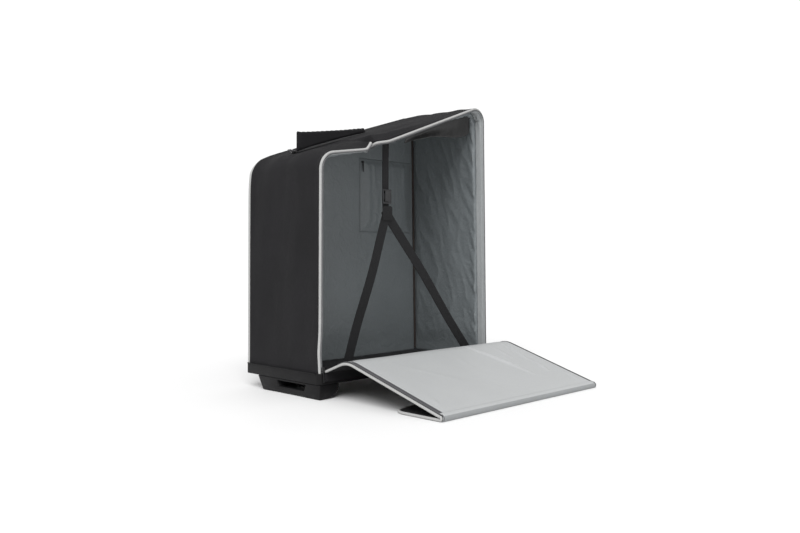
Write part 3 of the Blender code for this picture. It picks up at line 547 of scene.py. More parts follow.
def settled(p):
    """Where a point of the sewn strip comes to rest: the soft rear shoulder gives way, the left
    roof's front edge curls up beside a deep crease, and the rising roof's front edge drops away
    from a low ridge."""
    shoulder = math.exp(-((p.x - 0.012) ** 2 + (p.z - 0.560) ** 2) / 0.040 ** 2)
    p = p + SHOULDER_GIVE * shoulder * ease_in(p.y, 0.08, 0.26) * Vector((0.75, 0, -0.66))
    near = ease_in(p.y, 0.055, 0.004)
    foot = hump(p.z, 0.108, 0.034) * ease_in(p.x, 0.05, 0.02)
    p = p + Vector((-FOOT_PINCH * foot * near, 0, 0))
    if p.z > 0.50 and 0.10 < p.x < 0.50:
        lip = min(1.0, max(0.0, (p.x - LIP_START) / 0.0150)) ** 1.6
        lip *= ease_in(p.x, 0.1690, 0.1650)
        crease = ease_in(p.x, CREASE_START, 0.1690) * ease_in(p.x, CREASE_END, 0.1770)
        ridge = ease_in(p.x, 0.174, 0.184) * max(0.0, (0.47 - p.x) / 0.29)
        across = ease_in(p.y, 0.000, 0.026) * math.exp(-max(0.0, p.y - 0.026) / 0.040)
        raised = ease_in(p.x, 0.235, 0.178) * ease_in(p.x, 0.168, 0.176)
        lift = LIP_LIFT * lip * near + RIDGE_LIFT * ridge * across
        lift += RIDGE_EDGE_LIFT * raised * near - CREASE_DROP * crease * near
        p = p + Vector((0, CREASE_PUSH * crease * near, lift))
    return p


LINE_CACHE = {}


def strip_place(inset, depth, column, slack=0.0):
    """A place on the strip, in the bag's own frame; slack moves it outwards."""
    if (inset, depth) not in LINE_CACHE:
        LINE_CACHE[inset, depth] = strip_line(inset, depth)
    line = LINE_CACHE[inset, depth]
    p = line[column] + slack * outward_at(line, column)
    return CORNER + settled(Vector((p.x, depth, p.y)))


front_line = strip_line(0.0, 0.0)
RUNS = [0.0]
for a, b in zip(front_line, front_line[1:]):
    RUNS.append(RUNS[-1] + (b - a).length)
STRIP_LENGTH = RUNS[-1]


def softness(column):
    """How freely the strip may move at a column: not at all in the tray."""
    return ease_in(front_line[column].y, TRAY_TOP, 0.120)


def skin_slack(column, depth):
    """Folds of the outer canvas: long ones down the walls, and small gathers at the seams."""
    run, (x, height) = RUNS[column], front_line[column]
    across = min(1.0, max(0.0, (depth - LAYERS_FRONT) / (LAYERS_REAR - LAYERS_FRONT)))
    on_wall = ease_in(height, 0.56, 0.42)
    long_folds = wander(run * 2.6, depth * 15 + run * 3.2, 3.1)
    short_folds = wander(run * 7, depth * 36, 7.7)
    crumple = wander(run * 38, depth * 46, 1.3)
    slack = LONG_FOLDS * long_folds + SHORT_FOLDS * short_folds + CRUMPLE * crumple
    slack -= on_wall * WALL_HOLLOW * math.sin(math.pi * across)
    ripple = math.sin(run / GATHER_PITCH + 3 * wander(run * 20, depth * 8, 5))
    for seam in (LAYERS_FRONT, LAYERS_REAR):
        slack += GATHERS * ripple * math.exp(-abs(depth - seam) / 0.009)
    handle = hump(depth, 0.145, 0.024) * ease_in(x, 0.30, 0.285) * ease_in(height, 0.555, 0.572)
    free = ease_in(depth, LAYERS_FRONT, 0.022) * ease_in(depth, LAYERS_REAR, 0.258)
    return softness(column) * (1 - handle) * (0.11 + 0.89 * free) * slack


def cloth_effects():
    """The plain weave of a cloth, and the finish that every woven material is given."""
    weave, given, out = new_effect(
        "plain_weave", (("Cloth", "Vector", None), ("Pitch", "Float", 0.0006)),
        (("Thread", "Float"),))
    count = maths(weave, "DIVIDE", math.pi, given["Pitch"])
    axes = add_node(weave, "ShaderNodeSeparateXYZ", {0: scaled(weave, given["Cloth"], count)})
    warp, weft = (maths(weave, "SINE", axes.outputs[i]) for i in (0, 1))
    over = maths(weave, "GREATER_THAN", maths(weave, "MULTIPLY", warp, weft), 0.0)
    top, low = maths(weave, "ABSOLUTE", warp), maths(weave, "ABSOLUTE", weft)
    thread = add_node(weave, "ShaderNodeMix", {0: over, 2: top, 3: low})
    weave.links.new(thread.outputs[0], out["Thread"])

    tree, given, out = new_effect(
        "woven_finish",
        (("Cloth", "Vector", None), ("Place", "Vector", None),
         ("Colour", "Color", (0.1, 0.1, 0.1, 1)), ("Pitch", "Float", 0.0006),
         ("Relief", "Float", 0.0001), ("Roughness", "Float", 0.8), ("Shade", "Float", 0.15),
         ("Crumple", "Float", 0.0004), ("Crumple Size", "Float", 40.0)),
        (("Colour", "Color"), ("Roughness", "Float"), ("Normal", "Vector")))
    thread = add_node(tree, "ShaderNodeGroup", {"Cloth": given["Cloth"], "Pitch": given["Pitch"]},
                      node_tree=weave).outputs["Thread"]
    slub = clouds(tree, given["Cloth"], 310.0)
    patch = clouds(tree, given["Place"], 8.0, 4.0)
    folds = clouds(tree, given["Place"], given["Crumple Size"], 4.0, 0.7)
    shade = maths(tree, "MULTIPLY_ADD", maths(tree, "SUBTRACT", patch, 0.5),
                  maths(tree, "MULTIPLY", given["Shade"], 2.0), 0.86)
    shade = maths(tree, "MULTIPLY_ADD", maths(tree, "SUBTRACT", slub, 0.5), 0.3, shade)
    shade = maths(tree, "MULTIPLY_ADD", thread, 0.22, shade)
    tree.links.new(scaled(tree, given["Colour"], shade), out["Colour"])
    rough = maths(tree, "SUBTRACT", given["Roughness"], 0.08)
    tree.links.new(maths(tree, "MULTIPLY_ADD", patch, 0.16, rough), out["Roughness"])
    relief = maths(tree, "MULTIPLY", thread, given["Relief"])
    relief = maths(tree, "MULTIPLY_ADD", folds, given["Crumple"], relief)
    tree.links.new(bumped(tree, relief), out["Normal"])
    return tree


WOVEN = cloth_effects()


def woven(name, colour, pitch, roughness, relief=0.0001, shade=0.12, crumple=0.0004,
          crumple_size=40.0, sheen=0.02, gloss=0.2):
    """A woven cloth: its threads follow the piece's own map in metres."""
    values = {"Colour": (*colour, 1), "Pitch": pitch, "Roughness": roughness, "Relief": relief,
              "Shade": shade, "Crumple": crumple, "Crumple Size": crumple_size}
    made = effect_material(name, WOVEN, {"Cloth": "UV", "Place": "Object"}, values, gloss)
    shader = made.node_tree.nodes["Principled BSDF"]
    shader.inputs["Sheen Weight"].default_value = sheen
    shader.inputs["Sheen Roughness"].default_value = 0.4
    return made


def laid(name, columns, rows, place, flat, thickness=0.0, material=None):
    """A piece of cloth: a grid laid point by point, mapped in metres. Its thickness goes to
    the side away from its faces."""
    shape = bmesh.new()
    bmesh.ops.create_grid(shape, x_segments=columns, y_segments=rows, size=0.5)
    cloth_map = shape.loops.layers.uv.new("cloth")
    for face in shape.faces:
        for loop in face.loops:
            share = loop.vert.co + Vector((0.5, 0.5, 0))
            loop[cloth_map].uv = (share.x * flat[0], share.y * flat[1])
    for vert in shape.verts:
        vert.co = place(vert.co.x + 0.5, vert.co.y + 0.5)
    made = put(name, shape, material)
    if thickness:
        body = made.modifiers.new("thickness", "SOLIDIFY")
        body.thickness = thickness
        body.offset = -1
    return made


def round_strip(name, inset, low, high, rows, slack, thickness, material):
    """A layer of the strip from a front depth to a rear depth."""
    def place(u, v):
        column = round(u * LAST_COLUMN)
        depth = round(low + v * (high - low), 6)
        return strip_place(inset, depth, column, slack(column, depth))
    return laid(name, LAST_COLUMN, rows, place, (STRIP_LENGTH, high - low), thickness, material)


canvas = woven("black_bag_canvas", (0.0130, 0.0126, 0.0140), 0.0007, 0.82, 0.00012, 0.45,
               0.0009, 30.0, 0.01)
skin = round_strip("outer_skin", 0.0, SKIN_FRONT, SKIN_REAR, 58, skin_slack, SKIN_THICKNESS,
                   canvas)
fit(skin, "bag", "black_canvas", "gusset_outer")


# Wall padding: one strip of closed-cell foam between skin and lining. It is held by the two
# seams, follows the skin, and pushes the layers inside it inwards where the skin is drawn in.

PADDING_INSET = 0.0020
PADDING_THICKNESS = 0.0044
PADDING_FRONT = 0.0080
PADDING_REAR = 0.2720
PADDING_GAP = 0.0003


def pushed(slack, column, depth):
    """Slack of a layer inside the foam: its own, or more where the foam pushes it inwards."""
    return min(slack, skin_slack(column, depth) + PADDING_GAP)


foam = moulded("wall_foam", (0.10, 0.10, 0.105), 0.95, 520.0, 0.0002, 0.0)
padding = round_strip("wall_padding", PADDING_INSET, PADDING_FRONT, PADDING_REAR, 40, skin_slack,
                      PADDING_THICKNESS, foam)
fit(padding, "bag", "grey_foam", "gusset_foam")


# Lining: grey satin inside the strip. It is cut fuller than the skin, so it puckers along the
# zip seam and crumples in the top right corner.

LINING_INSET = 0.0071
LINING_FRONT = 0.0256
LINING_THICKNESS = 0.0012
LINING_FOLDS = 0.0052
LINING_DRAGS = 0.0028
LINING_GATHERS = 0.0062
CORNER_CRUMPLE = 0.0068


def ridged(x, y, seed):
    """Sharp-crested folds: 1 along the crests, falling to 0."""
    return (1 - abs(wander(x, y, seed))) ** 3


def lining_slack(column, depth):
    """Slack of the lining towards the inside of the bag, as a negative."""
    run, (x, height) = RUNS[column], front_line[column]
    long_folds = 0.5 + 0.5 * wander(run * 4.2 + depth * 3, depth * 15, 11.3)
    drags = ridged(run * 15 + depth * 22, depth * 16 - run * 3, 4.1)
    gathers = ridged(run * 40 + depth * 55, depth * 9, 9.2)
    seam = math.exp(-max(0.0, depth - LINING_FRONT) / 0.026)
    corner = hump(x, 0.592, 0.06) * hump(height, 0.715, 0.065) * ease_in(depth, 0.16, 0.03)
    rumple = ridged(run * 78, depth * 62, 2.2) + 0.5 * ridged(run * 120, depth * 110, 5.4)
    slack = LINING_FOLDS * long_folds + LINING_DRAGS * drags + LINING_GATHERS * seam * gathers
    slack += corner * rumple * CORNER_CRUMPLE
    hold = ease_in(depth, LINING_FRONT - 0.002, LINING_FRONT + 0.005)
    hold *= ease_in(depth, LAYERS_REAR, LAYERS_REAR - 0.02)
    return pushed(-softness(column) * hold * slack, column, depth)


# The satin of the walls, back and pocket is the lid's cloth painted much darker: painted shade over
# the inside of the bag.
satin = woven("grey_satin_shaded_copy", (0.172, 0.190, 0.198), 0.00028, 0.40, 0.00003, 0.10, 0.0022,
              42.0, 0.05, 0.5)
lining = round_strip("wall_lining", LINING_INSET, LINING_FRONT, LAYERS_REAR, 92, lining_slack,
                     LINING_THICKNESS, satin)
fit(lining, "bag", "grey_lining", "gusset_lining")


# Zip tape of the body: a paler woven tape between the front piping and the lining's seam,
# held by a row of stitches through the padding.

TAPE_FRONT = 0.0062
TAPE_REAR = 0.0262
TAPE_THICKNESS = 0.0012
TAPE_PUCKERS = 0.0008
CORNER_PUCKERS = 0.0042


def stitches(name, path, facing, body, pitch=0.0034, length=0.0025, width=0.00055):
    """A row of sewn stitches along a path; facing is the cloth's outward direction there."""
    shape = bmesh.new()
    left = 0.0
    for index, (a, b) in enumerate(zip(path, path[1:])):
        span = (b - a).length
        if span < 1e-7:
            continue
        way = (b - a) / span
        out = facing(index) if callable(facing) else Vector(facing)
        side = way.cross(out).normalized()
        out = side.cross(way)
        while left < span:
            turn = Matrix((way * length / 2, side * width / 2, out * width / 2)).transposed()
            at = Matrix.Translation(a + way * left) @ turn.to_4x4()
            bmesh.ops.create_icosphere(shape, subdivisions=1, radius=1.0, matrix=at)
            left += pitch
        left -= span
    fit(put(name, shape, dark_thread), body, "black_webbing")


def strip_path(inset, depth, slack):
    """A path along the strip at one depth, which follows a layer's slack."""
    return [strip_place(inset, depth, column, slack(column, depth))
            for column in range(LAST_COLUMN + 1)]


def strip_facing(sign):
    """Which way the strip's cloth faces along a path: 1 out of the bag, -1 into it."""
    def facing(index):
        out = outward_at(front_line, index)
        return Vector((out.x, 0, out.y)) * sign
    return facing


tape_grey = woven("grey_zip_tape", (0.37, 0.385, 0.39), 0.0009, 0.7, 0.00015, 0.08, 0.0005,
                  60.0)
dark_thread = woven("dark_thread", (0.035, 0.035, 0.037), 0.0004, 0.6, 0.00005, 0.1, 0.0)


def tape_slack(column, depth):
    """The tape's puckers round the tight right corner, towards the inside."""
    run, (x, height) = RUNS[column], front_line[column]
    corner = hump(x, 0.594, 0.05) * hump(height, 0.725, 0.05)
    seam = ridged(run * 46 + depth * 40, depth * 8, 9.2)
    slack = TAPE_PUCKERS * seam + CORNER_PUCKERS * corner * ridged(run * 95, depth * 70, 2.2)
    return pushed(-softness(column) * ease_in(depth, TAPE_FRONT, 0.0120) * slack, column, depth)


tape = round_strip("body_tape", LINING_INSET, TAPE_FRONT, TAPE_REAR, 10, tape_slack,
                   TAPE_THICKNESS, tape_grey)
fit(tape, "bag", "dark_tape", "body_zip_tape")
stitches("tape_stitches", strip_path(LINING_INSET + TAPE_THICKNESS + 0.0001, 0.0240, tape_slack),
         strip_facing(-1), "bag")
for edge, depth in (("front", 0.0125), ("rear", 0.2680)):
    stitches("skin_stitches_" + edge, strip_path(0.0, depth, skin_slack), strip_facing(1), "bag")


# Back panel: black canvas outside, a stiff fibre board, and grey satin inside. All three are
# caught in the rear seam, so the skins belly slightly between board and edge.

BACK_INSET = 0.0073
BACK_SKIN_DEPTH = 0.2777
BACK_LINING_INSET = 0.0086
BACK_LINING_DEPTH = 0.2715
BACK_FLAT = (0.59, 0.66)
LEFT_PEAK = SPANS[0] + SPANS[1] // 2
RIGHT_PEAK = LAST_COLUMN - SPANS[6] - SPANS[5] // 2


def within_outline(line, foot, side_share, u, v):
    """A place in a panel whose top edge follows the strip's outline between the two corners,
    and whose sides follow the outline's walls."""
    foot_x = line[0].x + u * (line[-1].x - line[0].x)
    top = line[round(LEFT_PEAK + u * (RIGHT_PEAK - LEFT_PEAK))]
    p = Vector((foot_x, foot)) * (1 - v) + top * v
    left, right = ease_in(u, side_share, 0.0), ease_in(u, 1 - side_share, 1.0)
    p = p * (1 - left) + line[round(v * LEFT_PEAK)] * left
    return p * (1 - right) + line[round(LAST_COLUMN - v * (LAST_COLUMN - RIGHT_PEAK))] * right


def back_place(inset, depth, belly):
    """Lays a grid over the back, bellied out between its edges."""
    line = strip_line(inset, depth)

    def place(u, v):
        p = within_outline(line, WALL_FOOT, 0.12, u, v)
        flat = settled(Vector((p.x, depth, p.y)))
        out = belly(p.x, p.y) * ease_in(min(u, 1 - u, v, 1 - v), 0.0, 0.06)
        return CORNER + Vector((flat.x, depth + out, flat.z))
    return place


def back_skin_belly(x, z):
    """How far the skin stands out of the back."""
    broad = wander(x * 6 + z * 2.5, z * 4, 2.2)
    return 0.0028 + 0.0030 * broad + 0.0006 * wander(x * 17, z * 12, 6.1)


def back_lining_belly(x, z):
    """How far the lining stands into the bag, as a negative."""
    folds = 0.5 + 0.5 * wander(x * 12, z * 4, 8.8)
    fine = 0.5 + 0.5 * wander(x * 34, z * 20, 1.8)
    return -(0.0016 * folds + 0.0006 * fine) * ease_in(z, 0.06, 0.12)


back_skin = laid("back_skin", 110, 110, back_place(BACK_INSET, BACK_SKIN_DEPTH, back_skin_belly),
                 BACK_FLAT, SKIN_THICKNESS, canvas)
fit(back_skin, "bag", "black_canvas", "back_outer")
board = moulded("fibre_board", (0.16, 0.16, 0.165), 0.75, 380.0, 0.0001, 0.2)
dressed(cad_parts["back_board"], board)
back_lining = laid("back_sheet", 110, 110,
                   back_place(BACK_LINING_INSET, BACK_LINING_DEPTH, back_lining_belly), BACK_FLAT,
                   LINING_THICKNESS, satin)
fit(back_lining, "bag", "grey_lining", "back_lining")


# Piping: a soft cord in a folded strip of pale cloth, sewn into the front and the rear seam.

PIPING_RADIUS = 0.0035

piping_cloth = woven("pale_piping", (0.42, 0.42, 0.415), 0.0005, 0.6, 0.00008, 0.10, 0.0003,
                     90.0)


def piping_radius(step):
    """The piping's thickness wanders a little where the cord is pressed by the seam."""
    return PIPING_RADIUS * (0.96 + 0.06 * wander(step * 0.9, 1.7, 0.4))


for edge, inset, depth, sunk, seam in (("front", 0.0027, 0.0033, 0.0, 0.0075),
                                       ("rear", 0.0006, 0.2770, 0.0034, 0.2728)):
    path = [strip_place(inset, depth, column, -sunk * ease_in(column, SPANS[0], SPANS[0] + 14))
            for column in range(LAST_COLUMN + 1)]
    cord = tube("edge_piping_" + edge, path, piping_radius, (0, 1, 0), 12)
    fit(dressed(cord, piping_cloth), "bag", "light_piping", "piping_" + edge)
    stitches("piping_stitches_" + edge, strip_path(0.0, seam, skin_slack), strip_facing(1),
             "bag", 0.003, 0.0021)


# Floor pad: felted foam on the tray's floor, quilted in four channels. It is puffed by a short
# cloth run, then drawn in along the channels.

PAD_VOXEL = 0.005
PAD_PRESSURE = 3.0
PAD_CAP = 0.003
PAD_UNDERSIZE = Vector((0.006, 0.006, 0.0036))
PAD_SUNK = 0.0012
CHANNEL_DEPTH = 0.0022
CHANNEL_WIDTH = 0.006
CHANNEL_SHARES = (0.2, 0.4, 0.6, 0.8)
CLOTH_FRAMES = 20


def puffed(name, shape, voxel, pressure, cap):
    """A stuffed piece: the slack cover is remeshed, blown up by the cloth solver, and capped."""
    rough = put(name + "_cover", shape)
    remesh = rough.modifiers.new("remesh", "REMESH")
    remesh.mode = "VOXEL"
    remesh.voxel_size = voxel
    graph = bpy.context.evaluated_depsgraph_get()
    cover = bpy.data.meshes.new_from_object(rough.evaluated_get(graph))
    cover.name = name
    bpy.data.objects.remove(rough, do_unlink=True)
    made = bpy.data.objects.new(name, cover)
    bpy.context.scene.collection.objects.link(made)
    start = [v.co.copy() for v in cover.vertices]
    cloth = made.modifiers.new("stuffing", "CLOTH")
    cloth.settings.use_pressure = True
    cloth.settings.uniform_pressure_force = pressure
    cloth.settings.effector_weights.gravity = 0
    scene = bpy.context.scene
    for step in range(1, CLOTH_FRAMES + 1):
        scene.frame_set(step)
    graph = bpy.context.evaluated_depsgraph_get()
    blown = bpy.data.meshes.new_from_object(made.evaluated_get(graph))
    made.modifiers.clear()
    for vert, was, now in zip(cover.vertices, start, blown.vertices):
        move = now.co - was
        vert.co = was + move * min(1.0, cap / max(move.length, 1e-9))
    bpy.data.meshes.remove(blown)
    scene.frame_set(1)
    return made


def map_flat(mesh, across, along):
    """Gives a piece a map in metres, laid flat over two directions."""
    layer = mesh.uv_layers.new(name="cloth")
    for loop in mesh.loops:
        co = mesh.vertices[loop.vertex_index].co
        layer.data[loop.index].uv = (co.dot(Vector(across)), co.dot(Vector(along)))


def smoothed(made):
    """One live subdivision over a puffed piece."""
    made.data.shade_smooth()
    finer = made.modifiers.new("smooth", "SUBSURF")
    finer.levels = finer.render_levels = 1
    return made


pad_low, pad_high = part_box("floor_pad")
shape = bmesh.new()
bmesh.ops.create_cube(shape, size=1)
bmesh.ops.scale(shape, vec=pad_high - pad_low - PAD_UNDERSIZE, verts=shape.verts)
bmesh.ops.translate(shape, vec=(pad_low + pad_high) / 2 - Vector((0, 0, PAD_SUNK)),
                    verts=shape.verts)
floor_pad = puffed("floor_cushion", shape, PAD_VOXEL, PAD_PRESSURE, PAD_CAP)
channels = [pad_low.x + (pad_high.x - pad_low.x) * share for share in CHANNEL_SHARES]
for vert in floor_pad.data.vertices:
    co = vert.co
    if co.z > pad_low.z + 0.004:
        co.z -= CHANNEL_DEPTH * max(hump(co.x, line, CHANNEL_WIDTH) for line in channels)
        co.z += 0.0004 * noise.noise(co * 60)
    for axis in range(3):
        co[axis] = min(max(co[axis], pad_low[axis]), pad_high[axis])
map_flat(floor_pad.data, (1, 0, 0), (0, 1, 0))
pad_felt = woven("dark_pad_cloth", (0.02, 0.02, 0.022), 0.0011, 0.85, 0.0002, 0.18, 0.0006, 50.0)
dressed(smoothed(floor_pad), pad_felt)
fit(floor_pad, "bag", "grey_foam", "floor_pad")
for index, line in enumerate(channels):
    row = [Vector((line, y, pad_high.z - 0.0018))
           for y in (pad_low.y + CHANNEL_WIDTH, pad_high.y - CHANNEL_WIDTH)]
    stitches(f"pad_channel_{index + 1}", row, (0, 0, 1), "bag")


# Seam binding: brown-grey tape folded over the raw edges of the inside back seam, so that it
# reads as a soft cord between the walls' lining and the back's.

BINDING_DEPTH = 0.2682
BINDING_INSET = 0.0115
BINDING_FOOT = 0.0475
BINDING_RADIUS = 0.0029

binding_cloth = woven("brown_binding", (0.050, 0.040, 0.036), 0.0012, 0.8, 0.00018, 0.15, 0.0004,
                      70.0)
binding_path = [CORNER + settled(Vector((p.x, BINDING_DEPTH, p.y)))
                for p in strip_line(BINDING_INSET, BINDING_DEPTH, BINDING_FOOT)]


def binding_radius(step):
    """The folded tape is thicker at some places than at others."""
    return BINDING_RADIUS + 0.0003 * wander(step * 0.5, 8.2, 0.0)


binding = tube("seam_tape", binding_path, binding_radius, (0, 1, 0), 10)
fit(dressed(binding, binding_cloth), "bag", "brown_binding", "seam_binding")


# Roof drape: a loose flap of black lining cloth sewn under the roof's front edge. It hangs in
# a long swag, lower over the middle, and its hem is turned up.

DRAPE_DEPTH = 0.030
DRAPE_STEPS = 60
DRAPE_INSET = 0.0100
DRAPE_HEM = ((0.318, 0.6190), (0.345, 0.6280), (0.410, 0.6440), (0.460, 0.6500), (0.520, 0.6530),
             (0.560, 0.6610), (0.574, 0.6720))


def hem_height(x):
    """The drape's hem, straight between the marked places."""
    for (ax, az), (bx, bz) in zip(DRAPE_HEM, DRAPE_HEM[1:]):
        if x <= bx:
            return az + (bz - az) * max(0.0, (x - ax) / (bx - ax))
    return DRAPE_HEM[-1][1]


def roof_over(x, depth, inset):
    """The roof's height over a place, inside the strip's layers."""
    line = strip_line(inset, depth)
    for a, b in zip(line, line[1:]):
        if a.x <= x <= b.x and b.x > a.x:
            return a.y + (b.y - a.y) * (x - a.x) / (b.x - a.x)
    return line[SPANS[0]].y


drape_left, drape_right = DRAPE_HEM[0][0], DRAPE_HEM[-1][0]
drape_top = []
for step in range(DRAPE_STEPS + 1):
    x = drape_left + step / DRAPE_STEPS * (drape_right - drape_left)
    drape_top.append((x, roof_over(x, DRAPE_DEPTH, DRAPE_INSET)))


def drape_place(u, v):
    """A place on the drape, from its seam under the roof to its hem."""
    x, roof = drape_top[round(u * DRAPE_STEPS)]
    z = roof + (hem_height(x) - roof) * v
    swag = 0.012 * math.sin(math.pi * min(1.0, v * 1.05)) * math.sin(math.pi * u) ** 0.5
    folds = 0.007 * v * wander(u * 5.5 + v, v * 1.2, 3.3)
    folds += 0.002 * v * wander(u * 15, v * 2.0, 6.1)
    return CORNER + Vector((x, DRAPE_DEPTH + swag + folds + 0.008 * v, z))


drape_cloth = woven("black_drape", (0.026, 0.026, 0.026), 0.00045, 0.5, 0.00005, 0.15, 0.0012,
                    38.0, 0.05, 0.4)
drape = laid("roof_drape", DRAPE_STEPS, 26, drape_place, (0.26, 0.070), 0.0006, drape_cloth)
fit(drape, "bag", "black_canvas")


# Zip of the body: a moulded coil along the front edge on a narrow fold of tape, with a slider
# and a hanging puller at each foot.

COIL_INSET = 0.0062
COIL_DEPTH = -0.0015
COIL_FOOT = 0.0615
COIL_PITCH = 0.0011
COIL_RADII = (0.00088, 0.00125)
COIL_TAPE_FALL = 0.0012
COIL_TAPE_WIDTH = 0.0095
TAG_COLS = (0.0, 0.28, 0.72, 1.0)
TAG_ROWS = (0.0, 0.09, 0.62, 0.74, 0.92, 1.0)
TAG_TAPER = 0.82
BAIL_REACH = 0.0024
BAIL_HEIGHT = 0.0011
BAIL_WIRE = 0.0004
SLIDER_ROUND = 0.0007
BURR = math.radians(50)

coil_plastic = moulded("zip_coil_plastic", (0.10, 0.10, 0.105), 0.42, 900.0, 0.00002, 0.1)


def resampled(path, step):
    """The same path with points at an even distance."""
    points, left = [path[0]], step
    for a, b in zip(path, path[1:]):
        span = (b - a).length
        while left <= span and span > 0:
            points.append(a + (b - a) * (left / span))
            left += step
        left -= span
    return points


def zip_teeth(name, path, across, size=1.0, pitch=COIL_PITCH):
    """A coil of teeth along a path, as a cord that swells and narrows at each turn."""
    def radius(step):
        return COIL_RADII[step % 2] * size
    return dressed(tube(name, resampled(path, pitch), radius, across, 6), coil_plastic)


coil_line = strip_line(COIL_INSET, 0.0, COIL_FOOT)
coil_path = [CORNER + settled(Vector((p.x, COIL_DEPTH, p.y))) for p in coil_line]
fit(zip_teeth("body_coil", coil_path, (0, 1, 0)), "bag", "dark_tape", "zip_coil")


def coil_tape_place(u, v):
    """A place on the narrow tape that carries the coil."""
    column = round(u * LAST_COLUMN)
    p = coil_line[column] - COIL_TAPE_FALL * v * outward_at(coil_line, column)
    return CORNER + settled(Vector((p.x, COIL_DEPTH + v * COIL_TAPE_WIDTH, p.y)))


coil_tape = laid("coil_tape", LAST_COLUMN, 3, coil_tape_place, (STRIP_LENGTH, 0.010), 0.0004,
                 tape_grey)
fit(coil_tape, "bag", "dark_tape")

zip_metal = metal("dark_zip_metal", (0.07, 0.07, 0.072), 0.42)


def thickened(shape, depth, edge=0.0):
    """Extrudes a flat cut-out towards the back, and softens its edges."""
    grown = bmesh.ops.extrude_face_region(shape, geom=shape.faces[:])
    moved = [g for g in grown["geom"] if isinstance(g, bmesh.types.BMVert)]
    bmesh.ops.translate(shape, vec=(0, depth, 0), verts=moved)
    bmesh.ops.recalc_face_normals(shape, faces=shape.faces)
    if edge:
        sharp = [e for e in shape.edges if e.is_manifold and e.calc_face_angle() > BURR]
        bmesh.ops.bevel(shape, geom=sharp, offset=edge, affect="EDGES", segments=2, profile=0.5,
                        material=-1)


def cut_plate(node, cols, rows, windows, edge, taper=1.0):
    """A plate in a node's box with windows in its middle column. Columns and rows are shares
    of its width and, from the top, of its height; the last two rows taper."""
    low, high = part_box(node)
    middle = (low.x + high.x) / 2
    shape = bmesh.new()
    bmesh.ops.create_grid(shape, x_segments=3, y_segments=5, size=0.5)
    for vert in shape.verts:
        i, j = round((vert.co.x + 0.5) * 3), round((vert.co.y + 0.5) * 5)
        across = (cols[i] - 0.5) * (high.x - low.x) * (taper if j > 3 else 1.0)
        vert.co = Vector((middle + across, low.y, high.z - rows[j] * (high.z - low.z)))
    cut = []
    for face in shape.faces:
        at = face.calc_center_median()
        share = (high.z - at.z) / (high.z - low.z)
        if abs(at.x - middle) < 1e-4 and any(rows[j] < share < rows[j + 1] for j in windows):
            cut.append(face)
    bmesh.ops.delete(shape, geom=cut, context="FACES")
    thickened(shape, high.y - low.y, edge)
    return shape


def hanging_tag(name, node, body):
    """A zip puller: a rounded metal tag with a slot for its cord near the bottom."""
    shape = cut_plate(node, TAG_COLS, TAG_ROWS, (3,), 0.0003, TAG_TAPER)
    fit(put(name, shape, zip_metal), body, "dark_metal", node)


for side in ("left", "right"):
    fit(dressed(eased("slider_" + side, "zip_slider_" + side, SLIDER_ROUND), zip_metal),
        "slider_" + side, "dark_metal", "zip_slider_" + side)
    hanging_tag("tag_" + side, "zip_puller_" + side, "puller_" + side)
    low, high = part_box("zip_slider_" + side)
    crown = Vector(((low.x + high.x) / 2, low.y + 0.0002, (low.z + high.z) / 2 + 0.0015))
    arch = []
    for step in range(13):
        angle = math.pi * step / 12
        arch.append(crown + Vector((0, -BAIL_HEIGHT * math.sin(angle),
                                    BAIL_REACH * math.cos(angle))))
    bail = tube("bail_" + side, arch, BAIL_WIRE, (1, 0, 0), 8)
    fit(dressed(bail, zip_metal), "slider_" + side, "dark_metal")


# Back pocket: a flat satin pocket on the back lining, gathered a little under its zip, with a
# coil, a slider and a hanging puller.

POCKET_SEAM = 0.003
POCKET_THICKNESS = 0.0010

pocket_low, pocket_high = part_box("back_pocket")
zip_low, zip_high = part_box("pocket_zip")


def pocket_place(u, v):
    """A place on the pocket, which bellies out between its seams."""
    x = pocket_low.x + u * (pocket_high.x - pocket_low.x)
    z = pocket_low.z + v * (pocket_high.z - pocket_low.z)
    edge = ease_in(min(u, 1 - u, v, (1 - v) * 1.6), 0.0, 0.16)
    gathers = 0.5 + 0.5 * wander(u * 17, v * 2.4, 5.5)
    belly = edge * (0.0035 + 0.0035 * gathers + 0.0035 * math.sin(math.pi * v))
    return Vector((x, pocket_low.y - 0.0006 - belly, z))


pocket = laid("pocket_panel", 70, 60, pocket_place, (0.208, 0.210), POCKET_THICKNESS, satin)
fit(pocket, "bag", "grey_lining", "back_pocket")
seam_corners = []
for u, v, side in ((0, 1, 1), (0, 0, 1), (1, 0, -1), (1, 1, -1)):
    seam_corners.append(pocket_place(u, v) + Vector((side * POCKET_SEAM, -0.0012, POCKET_SEAM)))
for index, (a, b) in enumerate(((1, 0), (1, 2), (2, 3))):
    stitches(f"pocket_stitches_{index + 1}", [seam_corners[a], seam_corners[b]], (0, -1, 0),
             "bag")


def pocket_tape_place(u, v):
    """A place on the flat tape of the pocket's zip."""
    return Vector((zip_low.x + u * (zip_high.x - zip_low.x), zip_low.y + 0.0006,
                   zip_low.z + v * (zip_high.z - zip_low.z)))


pocket_tape = laid("pocket_tape", 60, 4, pocket_tape_place, (0.196, 0.010), 0.0008, tape_grey)
fit(pocket_tape, "bag", "dark_tape", "pocket_zip")
coil_row = [Vector((x, zip_low.y + 0.0004, (zip_low.z + zip_high.z) / 2))
            for x in (zip_low.x + 0.001, zip_high.x - 0.001)]
fit(zip_teeth("pocket_coil", coil_row, (0, 1, 0), 0.7, 0.001), "bag", "dark_tape")
fit(dressed(eased("slider_pocket", "pocket_slider", SLIDER_ROUND), zip_metal), "pocket_slider",
    "dark_metal", "pocket_slider")
hanging_tag("tag_pocket", "pocket_puller", "pocket_puller")


# Handle: a flat padded flap of canvas that stands on a webbing band along the roof. Its cover
# is puffed by a short cloth run and sewn down round its edge.

